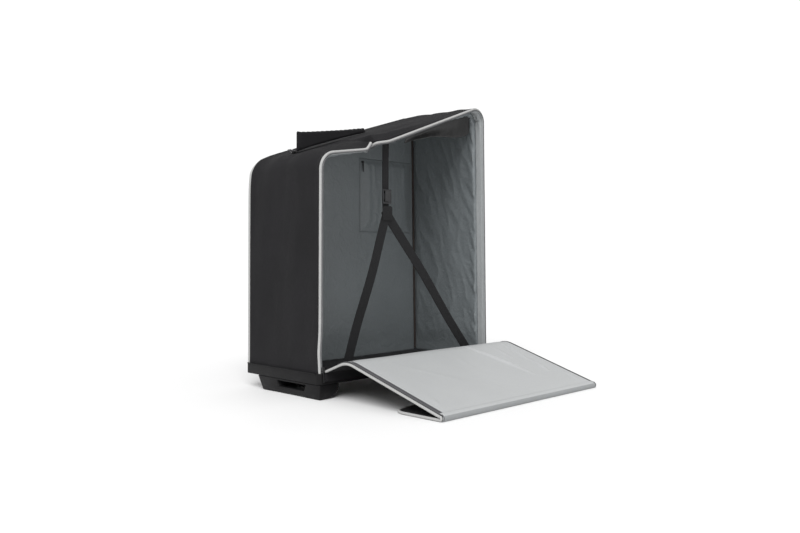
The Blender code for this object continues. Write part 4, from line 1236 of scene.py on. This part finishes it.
HANDLE_LEFT = 0.046
HANDLE_RIGHT = 0.282
HANDLE_DEPTH = 0.145
ROOF_TILT = math.atan(ROOF_SLOPE)
HANDLE_LENGTH = (HANDLE_RIGHT - HANDLE_LEFT) / math.cos(ROOF_TILT)
HANDLE_LIFT = 0.0015
BAND_WIDTH = 0.022
BAND_LIFT = 0.0012
BAND_THICKNESS = 0.0012
HINGE_LIFT = 0.0050
FLAP_HEIGHT = 0.0450
FLAP_END_HEIGHT = 0.0095
FLAP_THICKNESS = 0.0034
FLAP_VOXEL = 0.0022
FLAP_PRESSURE = 4.0
FLAP_CAP = 0.0022
FLAP_HALF = 0.0036

roof_way = Vector((math.cos(ROOF_TILT), 0, math.sin(ROOF_TILT)))
roof_up = Vector((-math.sin(ROOF_TILT), 0, math.cos(ROOF_TILT)))
seat_start = CORNER + Vector((
    HANDLE_LEFT, HANDLE_DEPTH, LEFT_HEIGHT + (HANDLE_LEFT - LEFT_LEAN) * ROOF_SLOPE))
seat_start += 0.0003 * roof_up


def on_roof(u, v, w):
    """A place on the roof: along it, into the depth, and up from it."""
    return seat_start + u * roof_way + Vector((0, v, 0)) + w * roof_up


webbing = woven("black_webbing", (0.0125, 0.0125, 0.0135), 0.0017, 0.75, 0.0003, 0.12, 0.0002,
                60.0)
seat = laid("handle_band", 60, 8,
            lambda u, v: on_roof(u * HANDLE_LENGTH, (v - 0.5) * BAND_WIDTH, BAND_LIFT),
            (HANDLE_LENGTH, BAND_WIDTH), BAND_THICKNESS, webbing)
fit(seat, "bag", "black_webbing", "handle_seat")

flap = ((0.0025, HANDLE_LIFT + 0.0004), (HANDLE_LENGTH - 0.0015, HANDLE_LIFT + 0.0004),
        (HANDLE_LENGTH - 0.004, HINGE_LIFT + FLAP_END_HEIGHT),
        (0.0045 + 0.046 * math.sin(ROOF_TILT), HINGE_LIFT + FLAP_HEIGHT))
shape = bmesh.new()
shape.faces.new([shape.verts.new(on_roof(u, -FLAP_THICKNESS / 2, w)) for u, w in flap])
thickened(shape, FLAP_THICKNESS)
handle = puffed("handle_flap", shape, FLAP_VOXEL, FLAP_PRESSURE, FLAP_CAP)
middle_y = on_roof(0, 0, 0).y
for vert in handle.data.vertices:
    co = vert.co
    wave = 0.0011 * wander(co.x * 16, co.z * 9, 4.4)
    co.y = middle_y + max(-FLAP_HALF, min(FLAP_HALF, co.y - middle_y)) + wave
map_flat(handle.data, tuple(roof_way), tuple(roof_up))
dressed(smoothed(handle), canvas)
fit(handle, "handle", "black_canvas", "carry_handle")


# Ring: a bright bent-wire ring at the handle's left end, in a folded tab of webbing that is
# sewn to the roof.

RING_WIRE = 0.00125
RING_REST = math.radians(40)
RING_LENGTH = 0.014
RING_HALF_WIDTH = 0.009
RING_CORNER = 0.005
BORE_U, BORE_W = -0.0053, 0.0025
TAB_BEND = 0.0024
TAB_WIDTH = 0.011

bright_wire = metal("bright_wire", (0.40, 0.40, 0.40), 0.34)
ring_way = roof_way * math.cos(RING_REST) - roof_up * math.sin(RING_REST)
ring_centre = on_roof(BORE_U, 0, BORE_W)
ring_path = []
for corner in range(4):
    centre_u = -RING_CORNER if corner in (0, 3) else RING_CORNER - RING_LENGTH
    centre_v = (RING_HALF_WIDTH - RING_CORNER) * (1 if corner in (0, 1) else -1)
    for step in range(8):
        angle = (corner + step / 7) * math.pi / 2
        u = centre_u + RING_CORNER * math.cos(angle)
        v = centre_v + RING_CORNER * math.sin(angle)
        ring_path.append(ring_centre + ring_way * u + Vector((0, v, 0)))
ring_across = ring_way.cross(Vector((0, 1, 0)))
fit(dressed(tube("wire_ring", ring_path, RING_WIRE, ring_across, 12, True), bright_wire), "ring",
    "bright_metal", "d_ring")
tab_path = [(-0.0004, 0.0001), (-0.0030, 0.0001)]
for step in range(9):
    angle = math.radians(270 - step * 22.5)
    tab_path.append((BORE_U + TAB_BEND * math.cos(angle), BORE_W + TAB_BEND * math.sin(angle)))
tab_path += [(-0.0030, 0.0030), (-0.0004, 0.0026)]
tab_rows = len(tab_path) - 1


def tab_place(u, v):
    """A place on the tab, which runs along the roof and back round the ring."""
    along, up = tab_path[round(v * tab_rows)]
    return on_roof(along, (u - 0.5) * TAB_WIDTH, up)


tab = laid("ring_tab_loop", 8, tab_rows, tab_place, (TAB_WIDTH, 0.024), 0.0009, webbing)
fit(tab, "bag", "black_webbing", "ring_tab")


# Harness: two wide straps from sewn tabs on the floor to a stitched yoke, and a third from
# the yoke to the roof. Each is flat nylon webbing, box-stitched where it ends.

STRAP_DEPTH = 0.030
STRAP_THICKNESS = 0.0015
STRAP_WIDTH = 0.028
TOP_STRAP_WIDTH = 0.022
YOKE = Vector((0.246, 0.436))
YOKE_OVERLAP = 0.012
STRAP_FOOT = 0.0489
STRAP_SLACK = 0.0035
LEFT_FOOT = 0.105
RIGHT_FOOT = WIDTH - 0.034
LAYER = STRAP_THICKNESS + 0.0003
TOP_STEPS = 30


def webbing_strap(name, path, width):
    """Flat webbing along (x, y, z) points in the bag's frame, square across the path."""
    path = [Vector(p) for p in path]
    length = sum((b - a).length for a, b in zip(path, path[1:]))
    rows = len(path) - 1

    def place(u, v):
        i = round(v * rows)
        way = (path[min(i + 1, rows)] - path[max(i - 1, 0)]).normalized()
        side = way.cross(Vector((0, 1, 0))).normalized()
        return CORNER + path[i] - side * (u - 0.5) * width
    made = laid(name, 6, rows, place, (width, length), STRAP_THICKNESS, webbing)
    soft = made.modifiers.new("woven_edge", "BEVEL")
    soft.width = 0.0005
    soft.segments = 2
    soft.limit_method = "ANGLE"
    return made


def box_stitch(name, centre, along, width, height, facing):
    """A sewn box with a cross inside it, across the bag and along a direction."""
    corners = [centre + Vector((a * width / 2, 0, 0)) + Vector(along) * b * height / 2
               for a, b in ((-1, -1), (1, -1), (1, 1), (-1, 1))]
    for label, order in (("", (0, 1, 2, 3, 0, 2)), ("_cross", (1, 3))):
        stitches(name + label, [corners[i] for i in order], facing, "bag", 0.0026, 0.0019, 0.0005)


for side, foot_x, depth in (("left", LEFT_FOOT, STRAP_DEPTH),
                            ("right", RIGHT_FOOT, STRAP_DEPTH + LAYER)):
    foot = Vector((foot_x, STRAP_FOOT))
    rise = (YOKE - foot).normalized() * ((YOKE - foot).length + YOKE_OVERLAP)
    points = []
    for step in range(41):
        share = step / 40
        p = foot + rise * share
        slack = math.sin(math.pi * share) * math.sin(2.2 * math.pi * share + 0.4)
        points.append((p.x, depth + STRAP_SLACK * slack, p.y + 0.0001))
    strap = webbing_strap(side + "_strap", points, STRAP_WIDTH)
    fit(strap, "bag", "black_webbing", "strap_" + side)
top_low = YOKE.y - YOKE_OVERLAP
top_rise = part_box("strap_top")[1].z - CORNER.z - top_low
top_points = []
for step in range(TOP_STEPS + 1):
    share = step / TOP_STEPS
    depth = STRAP_DEPTH + 2 * LAYER + 0.002 * math.sin(math.pi * share)
    top_points.append((YOKE.x, depth, top_low + top_rise * share))
fit(webbing_strap("roof_strap", top_points, TOP_STRAP_WIDTH), "bag", "black_webbing", "strap_top")


def sewn_patch(name, low, high, corner, edge):
    """A patch of doubled webbing, with round corners across its thinnest side."""
    thin = min(range(3), key=lambda i: high[i] - low[i])
    shape = bmesh.new()
    bmesh.ops.create_cube(shape, size=1)
    bmesh.ops.scale(shape, vec=high - low, verts=shape.verts)
    bmesh.ops.translate(shape, vec=(low + high) / 2, verts=shape.verts)
    upright = [e for e in shape.edges
               if abs((e.verts[0].co - e.verts[1].co)[thin]) > (high[thin] - low[thin]) / 2]
    bmesh.ops.bevel(shape, geom=upright, offset=corner, affect="EDGES", segments=5, profile=0.5,
                    material=-1)
    rims = [e for e in shape.edges if e.is_manifold and e.calc_face_angle() > BURR]
    bmesh.ops.bevel(shape, geom=rims, offset=edge, affect="EDGES", segments=2, profile=0.5,
                    material=-1)
    made = put(name, shape, webbing)
    axes = [(1, 0, 0), (0, 1, 0), (0, 0, 1)]
    del axes[thin]
    map_flat(made.data, *axes)
    return made


patch_low, patch_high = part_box("yoke_patch")
patch = sewn_patch("yoke_cover", patch_low, patch_high, 0.006, 0.0004)
fit(patch, "bag", "black_webbing", "yoke_patch")
patch_face = (patch_low + patch_high) / 2
patch_face.y = patch_low.y
box_stitch("yoke_box", patch_face, (0, 0, 1), 0.026, 0.028, (0, -1, 0))
for side in ("left", "right"):
    low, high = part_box("strap_anchor_" + side)
    anchor = sewn_patch("floor_tab_" + side, low, high, 0.003, 0.0005)
    fit(anchor, "bag", "black_webbing", "strap_anchor_" + side)
    for end, offset in (("front", -0.0095), ("rear", 0.0095)):
        at = Vector(((low.x + high.x) / 2, (low.y + high.y) / 2 + offset, high.z))
        box_stitch(f"tab_box_{side}_{end}", at, (0, 1, 0), 0.034, 0.006, (0, 0, 1))


# Cam buckle: a moulded frame with two windows on the roof strap, and a plated lever that
# tips forward to free the webbing.

FRAME_COLS = (0.0, 0.12, 0.88, 1.0)
FRAME_ROWS = (0.0, 0.13, 0.30, 0.70, 0.87, 1.0)
LEVER_RIBS = 6
LEVER_THICKNESS = 0.0024

shape = cut_plate("buckle_frame", FRAME_COLS, FRAME_ROWS, (1, 3), 0.0007)
fit(put("buckle_body", shape, wheel_plastic), "bag", "black_plastic", "buckle_frame")
lever_low, lever_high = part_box("cam_lever")


def lever_place(u, v):
    """A place on the lever's face, which is ribbed for the thumb on its upper half."""
    x = lever_low.x + u * (lever_high.x - lever_low.x)
    z = lever_low.z + v * (lever_high.z - lever_low.z)
    ribs = 0.0004 * math.sin(v * math.pi * 2 * LEVER_RIBS) * ease_in(v, 0.45, 0.5)
    return Vector((x, lever_low.y + 0.0005 - ribs * ease_in(min(u, 1 - u), 0.05, 0.12), z))


lever = laid("buckle_lever", 16, 60, lever_place, (0.018, 0.028), LEVER_THICKNESS, zip_metal)
fit(lever, "cam_lever", "dark_metal", "cam_lever")


# Lid: one long flap that closes the front. Its canvas starts as a hem on the tray, and a
# padded strip, a lower and an upper board panel follow, each between two fabric hinges.

LID_INSET = 0.0095
LID_THICKNESS = 0.0063
LID_PIPING_RADIUS = 0.003
LID_EDGE = 0.0063
LID_TAPE_END = LID_EDGE + 0.018
HEM_LOW = -0.0205
HEM_END = 0.040
SKIN_START = 0.038
STRIP_RUN = 0.075
HINGE_HEIGHT = 0.0615
STRIP_TURN = math.radians(68.3)
BEND_TURN = math.radians(68.3 + 38.32)
FOLD_TURN = math.radians(270)
LOWER_RUN = 0.471 * (RIGHT_HEIGHT - HINGE_HEIGHT - STRIP_RUN)
LID_RUN = STRIP_RUN + LOWER_RUN
FOLD_HEIGHT = HINGE_HEIGHT + LID_RUN
HUMP_REACH = 0.022
PAD_START = 0.004
PAD_DEPTH = 0.0019
PAD_THICKNESS = 0.0028
HINGE = Vector((0, -0.0073, HINGE_HEIGHT))


def lid_ways(turn):
    """The directions along a panel and into its thickness."""
    return Vector((0, -math.sin(turn), math.cos(turn))), Vector((0, math.cos(turn), math.sin(turn)))


strip_way, strip_in = lid_ways(STRIP_TURN)
lower_way, lower_in = lid_ways(BEND_TURN)
upper_way, upper_in = lid_ways(FOLD_TURN)
BEND = HINGE + strip_way * STRIP_RUN
FOLD = BEND + lower_way * LOWER_RUN


def lid_place(x, run, depth):
    """A place on the open lid: across, along it from the hinge, and into its thickness."""
    past = run - STRIP_RUN
    if abs(past) < HUMP_REACH:
        joint = BEND + depth * (strip_in + lower_in) / (1 + strip_in.dot(lower_in))
        into = BEND - HUMP_REACH * strip_way + depth * strip_in
        out = BEND + HUMP_REACH * lower_way + depth * lower_in
        t = (past + HUMP_REACH) / (2 * HUMP_REACH)
        p = into * (1 - t) ** 2 + joint * 2 * t * (1 - t) + out * t * t
    elif past < 0:
        p = HINGE + strip_way * run + depth * strip_in
    elif run <= LID_RUN:
        p = BEND + lower_way * past + depth * lower_in
    else:
        p = FOLD + upper_way * (past - LOWER_RUN) + depth * upper_in
    return CORNER + Vector((x, p.y, p.z))


def lid_side(inset, height, side):
    """Where the lid's side is at a height of the shut lid."""
    if side == "left":
        lean = LEFT_LEAN / (LEFT_HEIGHT - TRAY_BOTTOM)
    else:
        lean = RIGHT_LEAN / (RIGHT_HEIGHT - TRAY_BOTTOM)
    x = lean * (height - TRAY_BOTTOM) + (LID_INSET + inset) * math.hypot(1, lean)
    return x if side == "left" else WIDTH - x


def lid_across(inset, run, share):
    """A share of the lid's width at a run along it."""
    height = HINGE.z + run
    left, right = lid_side(inset, height, "left"), lid_side(inset, height, "right")
    return left + (right - left) * share


def lid_cloth(name, inset, start, end, depth, columns, rows, thickness, material, lift=None,
              right_inset=None):
    """A sheet over part of the strip and the lower panel."""
    def place(u, v):
        run = start + v * (end - start)
        left = lid_side(inset, HINGE_HEIGHT + run, "left")
        right = lid_side(right_inset or inset, HINGE_HEIGHT + run, "right")
        x = left + (right - left) * u
        rise = lift(x, run, min(u, 1 - u, (1 - v) * 0.6)) if lift else 0.0
        return lid_place(x, run, depth + rise)
    return laid(name, columns, rows, place, (0.59, end - start), thickness, material)


def over_joint(made, nodes=()):
    """Bakes a cover's place into its mesh and hides the nodes that it stands for."""
    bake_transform(made)
    if nodes:
        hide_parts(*nodes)


def over_hinge(made, slot, *nodes):
    """Bakes a cover across the hinge at the tray in place and hides the nodes that it stands for."""
    over_joint(made, nodes)


def over_bend(made, slot, *nodes):
    """Bakes a cover across the soft bend at the top of the strip in place and hides the nodes that it
    stands for.
    """
    over_joint(made, nodes)


def hem_place(u, v):
    """A place on the lid's canvas, from the tray's face up over the hinge."""
    run = HEM_LOW + v * (HEM_END - HEM_LOW)
    if run >= 0:
        return lid_place(lid_across(LID_EDGE, run, u), run, 0.0)
    return CORNER + HINGE + Vector((lid_across(0.0, 0.0, u), 0, run))


hem = laid("hem_canvas", 90, 30, hem_place, (0.592, 0.061), SKIN_THICKNESS, canvas)
over_hinge(hem, "black_canvas", "hinge_binding", "strip_outer")
lower_skin = lid_cloth("lower_skin", LID_EDGE, SKIN_START, LID_RUN - 0.0008, 0.0, 80, 90,
                       SKIN_THICKNESS, canvas)
over_bend(lower_skin, "black_canvas", "lower_outer")
strip_pad = lid_cloth("strip_padding", LID_EDGE, PAD_START, STRIP_RUN - 0.010, PAD_DEPTH, 60, 10,
                      PAD_THICKNESS, foam)
fit(strip_pad, "lid_strip", "grey_foam", "strip_foam")


# Lid lining: grey satin in one piece from the tray's inner edge over the hump to the fold, with faint
# creases where it was folded in the shop. It is the walls' satin painted paler, the lit copy beside
# their shaded one. Each crease has its two ends, as places across and along the lower panel, its
# height and its width.

# The lid's satin is the same cloth as the walls', painted paler as its lit copy: painted light.
lid_satin = woven("grey_satin_lit_copy", (0.44, 0.45, 0.453), 0.00030, 0.50, 0.00003, 0.05, 0.0008,
                  22.0, 0.05, 0.4)
lid_tape = woven("dark_lid_tape", (0.085, 0.085, 0.09), 0.0010, 0.72, 0.00018, 0.1, 0.0004, 60.0)
FACE_DEPTH = LID_THICKNESS - LINING_THICKNESS
PANEL_LINING_START = 0.039
PANEL_LINING_RIGHT = 0.0108
ROOT_PATH = ((-0.0005476, 0.0475), (-0.0005476, 0.0600), (-0.0017476, 0.0640))
ROOT_START = 0.0025
ROOT_SHARE = 4 / 14
CREASES = (
    (0.418, 0.008, 0.454, 0.197, 0.0052, 0.0055), (0.559, 0.015, 0.530, 0.123, 0.0054, 0.0048),
    (0.542, 0.126, 0.521, 0.193, 0.0048, 0.0048), (0.568, 0.216, 0.553, 0.259, 0.0040, 0.0042),
    (0.330, 0.030, 0.300, 0.160, 0.0006, 0.010), (0.120, 0.050, 0.220, 0.180, 0.0006, 0.010),
    (0.036, 0.268, 0.060, 0.226, 0.0022, 0.005), (0.500, 0.020, 0.492, 0.100, 0.0024, 0.005),
)


def creased(x, run):
    """How far the creases raise the lower panel's lining at a place."""
    lift = 0.0
    for ax, ay, bx, by, height, width in CREASES:
        a, b, p = Vector((ax, ay)), Vector((bx, by)), Vector((x, run - STRIP_RUN))
        share = max(0.0, min(1.0, (p - a).dot(b - a) / (b - a).length_squared))
        away = (p - a - (b - a) * share).length
        taper = math.sin(math.pi * (0.1 + 0.8 * share))
        lift += height * taper * math.exp(-(away / width) ** 2)
    return lift


def lid_ripple(x, run, edge):
    """The lining's slack over its board, as a lift out of the panel."""
    broad = 0.5 + 0.5 * wander(x * 7, run * 9, 2.7)
    return 0.0012 + ease_in(edge, 0.0, 0.05) * (0.0014 * broad + creased(x, run))


def root_place(u, v):
    """The lining's root: up inside the tray, over its rim, and out along the strip."""
    if v < ROOT_SHARE:
        walk = 2 * v / ROOT_SHARE
        index = min(int(walk), 1)
        a, b = Vector(ROOT_PATH[index]), Vector(ROOT_PATH[index + 1])
        p = a + (b - a) * (walk - index)
        return CORNER + Vector((lid_across(LID_EDGE, 0.0, u), p.x, p.y))
    run = ROOT_START + (HEM_END - ROOT_START) * (v - ROOT_SHARE) / (1 - ROOT_SHARE)
    return lid_place(lid_across(LID_EDGE, run, u), run, FACE_DEPTH)


root = laid("strip_satin", 80, 28, root_place, (0.58, 0.058), LINING_THICKNESS, lid_satin)
over_hinge(root, "grey_lining", "strip_lining")
lower_lining = lid_cloth("lower_satin", LID_TAPE_END - 0.006, PANEL_LINING_START,
                         LID_RUN - 0.001, FACE_DEPTH, 150, 96, LINING_THICKNESS, lid_satin,
                         lid_ripple, PANEL_LINING_RIGHT)
over_bend(lower_lining, "grey_lining", "lower_lining")


# Lid edges: along each side of the lid a dark zip tape is stitched over the lining, with its
# half of the coil, and the pale piping runs round the edge from the tray to the fold.

LID_TAPE_START = 0.041
LID_TAPE_THICKNESS = 0.0012
LID_PIPING_INSET = LID_PIPING_RADIUS - 0.0004
LID_COIL_INSET = 0.0060
LID_COIL_START = 0.043
LID_COIL_SIZE = 0.85
LID_STITCH_START = 0.045


def lid_side_path(inset, side, start, end, depth, steps):
    """A path along one side of the lid."""
    runs = [start + (end - start) * i / steps for i in range(steps + 1)]
    return [lid_place(lid_side(inset, HINGE.z + run, side), run, depth) for run in runs]


def lid_piping_radius(step):
    """The lid's piping wanders in thickness as the body's does."""
    return LID_PIPING_RADIUS * (0.97 + 0.05 * wander(step * 0.8, 2.7, 0.4))


for side in ("left", "right"):
    def band_place(u, v):
        """A place on the tape, from left to right over its width."""
        run = LID_TAPE_START + v * (LID_RUN - 0.001 - LID_TAPE_START)
        a, b = sorted(lid_side(inset, HINGE.z + run, side)
                      for inset in (LID_EDGE - 0.0015, LID_TAPE_END + 0.001))
        return lid_place(a + (b - a) * u, run, FACE_DEPTH + 0.0004)

    band = laid("lower_tape_" + side, 4, 80, band_place,
                (LID_TAPE_END - LID_EDGE + 0.0025, LID_RUN - 0.001 - LID_TAPE_START),
                LID_TAPE_THICKNESS, lid_tape)
    over_bend(band, "dark_tape", "lower_zip_tape_" + side)
    path = lid_side_path(LID_PIPING_INSET, side, 0.0005, LID_RUN - 0.0005, LID_THICKNESS / 2, 150)
    edge_cord = tube("lid_piping_" + side, path, lid_piping_radius, (1, 0, 0), 12)
    over_bend(dressed(edge_cord, piping_cloth), "light_piping", "strip_piping_" + side,
              "lower_piping_" + side)
    row = lid_side_path(LID_TAPE_END - 0.0015, side, LID_STITCH_START, LID_RUN - 0.002,
                        LID_THICKNESS + 0.0006, 80)
    stitches("lower_tape_stitches_" + side, row, (0, 0, 1), "lid_lower")
    row = lid_side_path(LID_COIL_INSET, side, LID_COIL_START, LID_RUN, LID_THICKNESS + 0.0011, 150)
    over_bend(zip_teeth("lid_coil_" + side, row, (1, 0, 0), LID_COIL_SIZE), "dark_tape")


# Boards: two stiff fibre boards with eased edges. They keep the lid's panels flat, and only
# their straight edges show through the cloth.

for panel in ("lower", "upper"):
    dressed(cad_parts[panel + "_board"], board)


# Upper panel: canvas, board and satin again, with its zip tape and piping round the shaped
# end. It lies folded under the lower panel with its canvas up.

UPPER_FOOT = FOLD_HEIGHT + 0.0006
UPPER_SLACK = 0.0012


def upper_outline(inset):
    """The upper panel's edge as (x, height) points: up the left, round the top, down."""
    return strip_line(LID_INSET + inset, 0.0, UPPER_FOOT)


def upper_point(p, depth):
    """A place on the folded upper panel, from its place on the shut lid."""
    on_panel = FOLD + upper_way * (p.y - FOLD_HEIGHT) + depth * upper_in
    return CORNER + Vector((p.x, on_panel.y, on_panel.z))


def upper_place(inset, depth, slack=0.0):
    """Lays a grid over the upper panel; slack lifts it off its board."""
    line = upper_outline(inset)

    def place(u, v):
        p = within_outline(line, UPPER_FOOT, 0.10, u, v)
        wave = slack * ease_in(min(u, 1 - u, v, 1 - v), 0, 0.08)
        return upper_point(p, depth - wave * (0.4 + 0.6 * wander(p.x * 8, p.y * 8, 6)))
    return place


upper_skin = laid("upper_skin", 120, 50, upper_place(LID_EDGE, 0.0, UPPER_SLACK), (0.58, 0.25),
                  SKIN_THICKNESS, canvas)
fit(upper_skin, "lid_upper", "black_canvas", "upper_outer")
upper_satin = laid("upper_satin", 120, 50, upper_place(LID_TAPE_END, FACE_DEPTH), (0.54, 0.23),
                   LINING_THICKNESS, lid_satin)
fit(upper_satin, "lid_upper", "grey_lining", "upper_lining")
outer_line, inner_line = upper_outline(LID_EDGE - 0.0015), upper_outline(LID_TAPE_END)


def upper_band_place(u, v):
    """A place on the zip tape round the panel's end."""
    column = round(u * LAST_COLUMN)
    p = inner_line[column] + (outer_line[column] - inner_line[column]) * v
    return upper_point(p, FACE_DEPTH)


upper_tape = laid("upper_tape", LAST_COLUMN, 3, upper_band_place, (0.95, 0.0195),
                  LID_TAPE_THICKNESS, lid_tape)
fit(upper_tape, "lid_upper", "dark_tape", "upper_zip_tape")
upper_path = [upper_point(p, LID_THICKNESS / 2) for p in upper_outline(LID_PIPING_INSET)]
upper_cord = tube("upper_piping_cord", upper_path, LID_PIPING_RADIUS, (0, 0, 1), 12)
fit(dressed(upper_cord, piping_cloth), "lid_upper", "light_piping", "upper_piping")


# Fold band: a wide band of cloth over the front fold, wrapped round both thicknesses, with the piping
# and the coil carried round its ends. Its grey, darker than the lid's satin, is painted shade on the
# bend.

LID_RADIUS = LID_THICKNESS + 0.0004
BAND_RADIUS = LID_RADIUS + 0.0009
FOLD_COIL_RADIUS = LID_RADIUS + 0.0017
FLAT_RUN = 0.030
BAND_INSET = 0.0034
BAND_CLOTH = 0.0010

# This band is painted a darker grey than the lid's satin for the shade where the lining turns round
# the fold: painted shade.
fold_shade_cloth = woven("grey_fold_painted_shade", (0.30, 0.31, 0.315), 0.0009, 0.66, 0.00016, 0.08, 0.0006,
                  45.0)


def fold_arc(radius, share):
    """A point round the fold, from the lower panel's face to the upper panel's."""
    angle = share * (FOLD_TURN - BEND_TURN)
    c, s = math.cos(angle), math.sin(angle)
    return FOLD + radius * Vector((0, lower_in.y * c - lower_in.z * s,
                                   lower_in.y * s + lower_in.z * c))


def fold_roll(inset, radius, start, end):
    """Cloth rolled over the fold between two shares of its arc; beyond them it runs flat."""
    left, right = (lid_side(inset, FOLD_HEIGHT, side) for side in ("left", "right"))

    def place(u, v):
        share = start + v * (end - start)
        if share < 0:
            p = FOLD + lower_way * share * FLAT_RUN + radius * lower_in
        elif share > 1:
            p = FOLD + upper_way * (share - 1) * FLAT_RUN + radius * upper_in
        else:
            p = fold_arc(radius, share)
        return CORNER + Vector((left + (right - left) * u, p.y, max(p.z, 0.0002)))
    return place


def over_fold(made):
    """Bakes a cover round the fold in place."""
    over_joint(made)


roll = laid("fold_satin", 80, 24, fold_roll(LID_EDGE, LID_RADIUS, -0.25, 0.95), (0.578, 0.024),
            LINING_THICKNESS, lid_satin)
over_fold(roll)
band = laid("fold_band", 80, 24, fold_roll(BAND_INSET, BAND_RADIUS, 0.22, 1.35), (0.584, 0.022),
            BAND_CLOTH, fold_shade_cloth)
over_fold(band)
for side in ("left", "right"):
    end = CORNER + Vector((lid_side(LID_PIPING_INSET, FOLD_HEIGHT, side), 0, 0))
    path = [end + fold_arc(LID_THICKNESS / 2 + 0.0006, i / 14) for i in range(15)]
    turn_cord = tube("fold_piping_" + side, path, LID_PIPING_RADIUS * 0.96, (1, 0, 0), 12)
    over_fold(dressed(turn_cord, piping_cloth))
    end = CORNER + Vector((lid_side(LID_COIL_INSET, FOLD_HEIGHT, side), 0, 0))
    path = [end + fold_arc(FOLD_COIL_RADIUS, 0.68 * i / 20) for i in range(21)]
    turn_coil = zip_teeth("fold_coil_" + side, path, (1, 0, 0), LID_COIL_SIZE)
    over_fold(turn_coil)
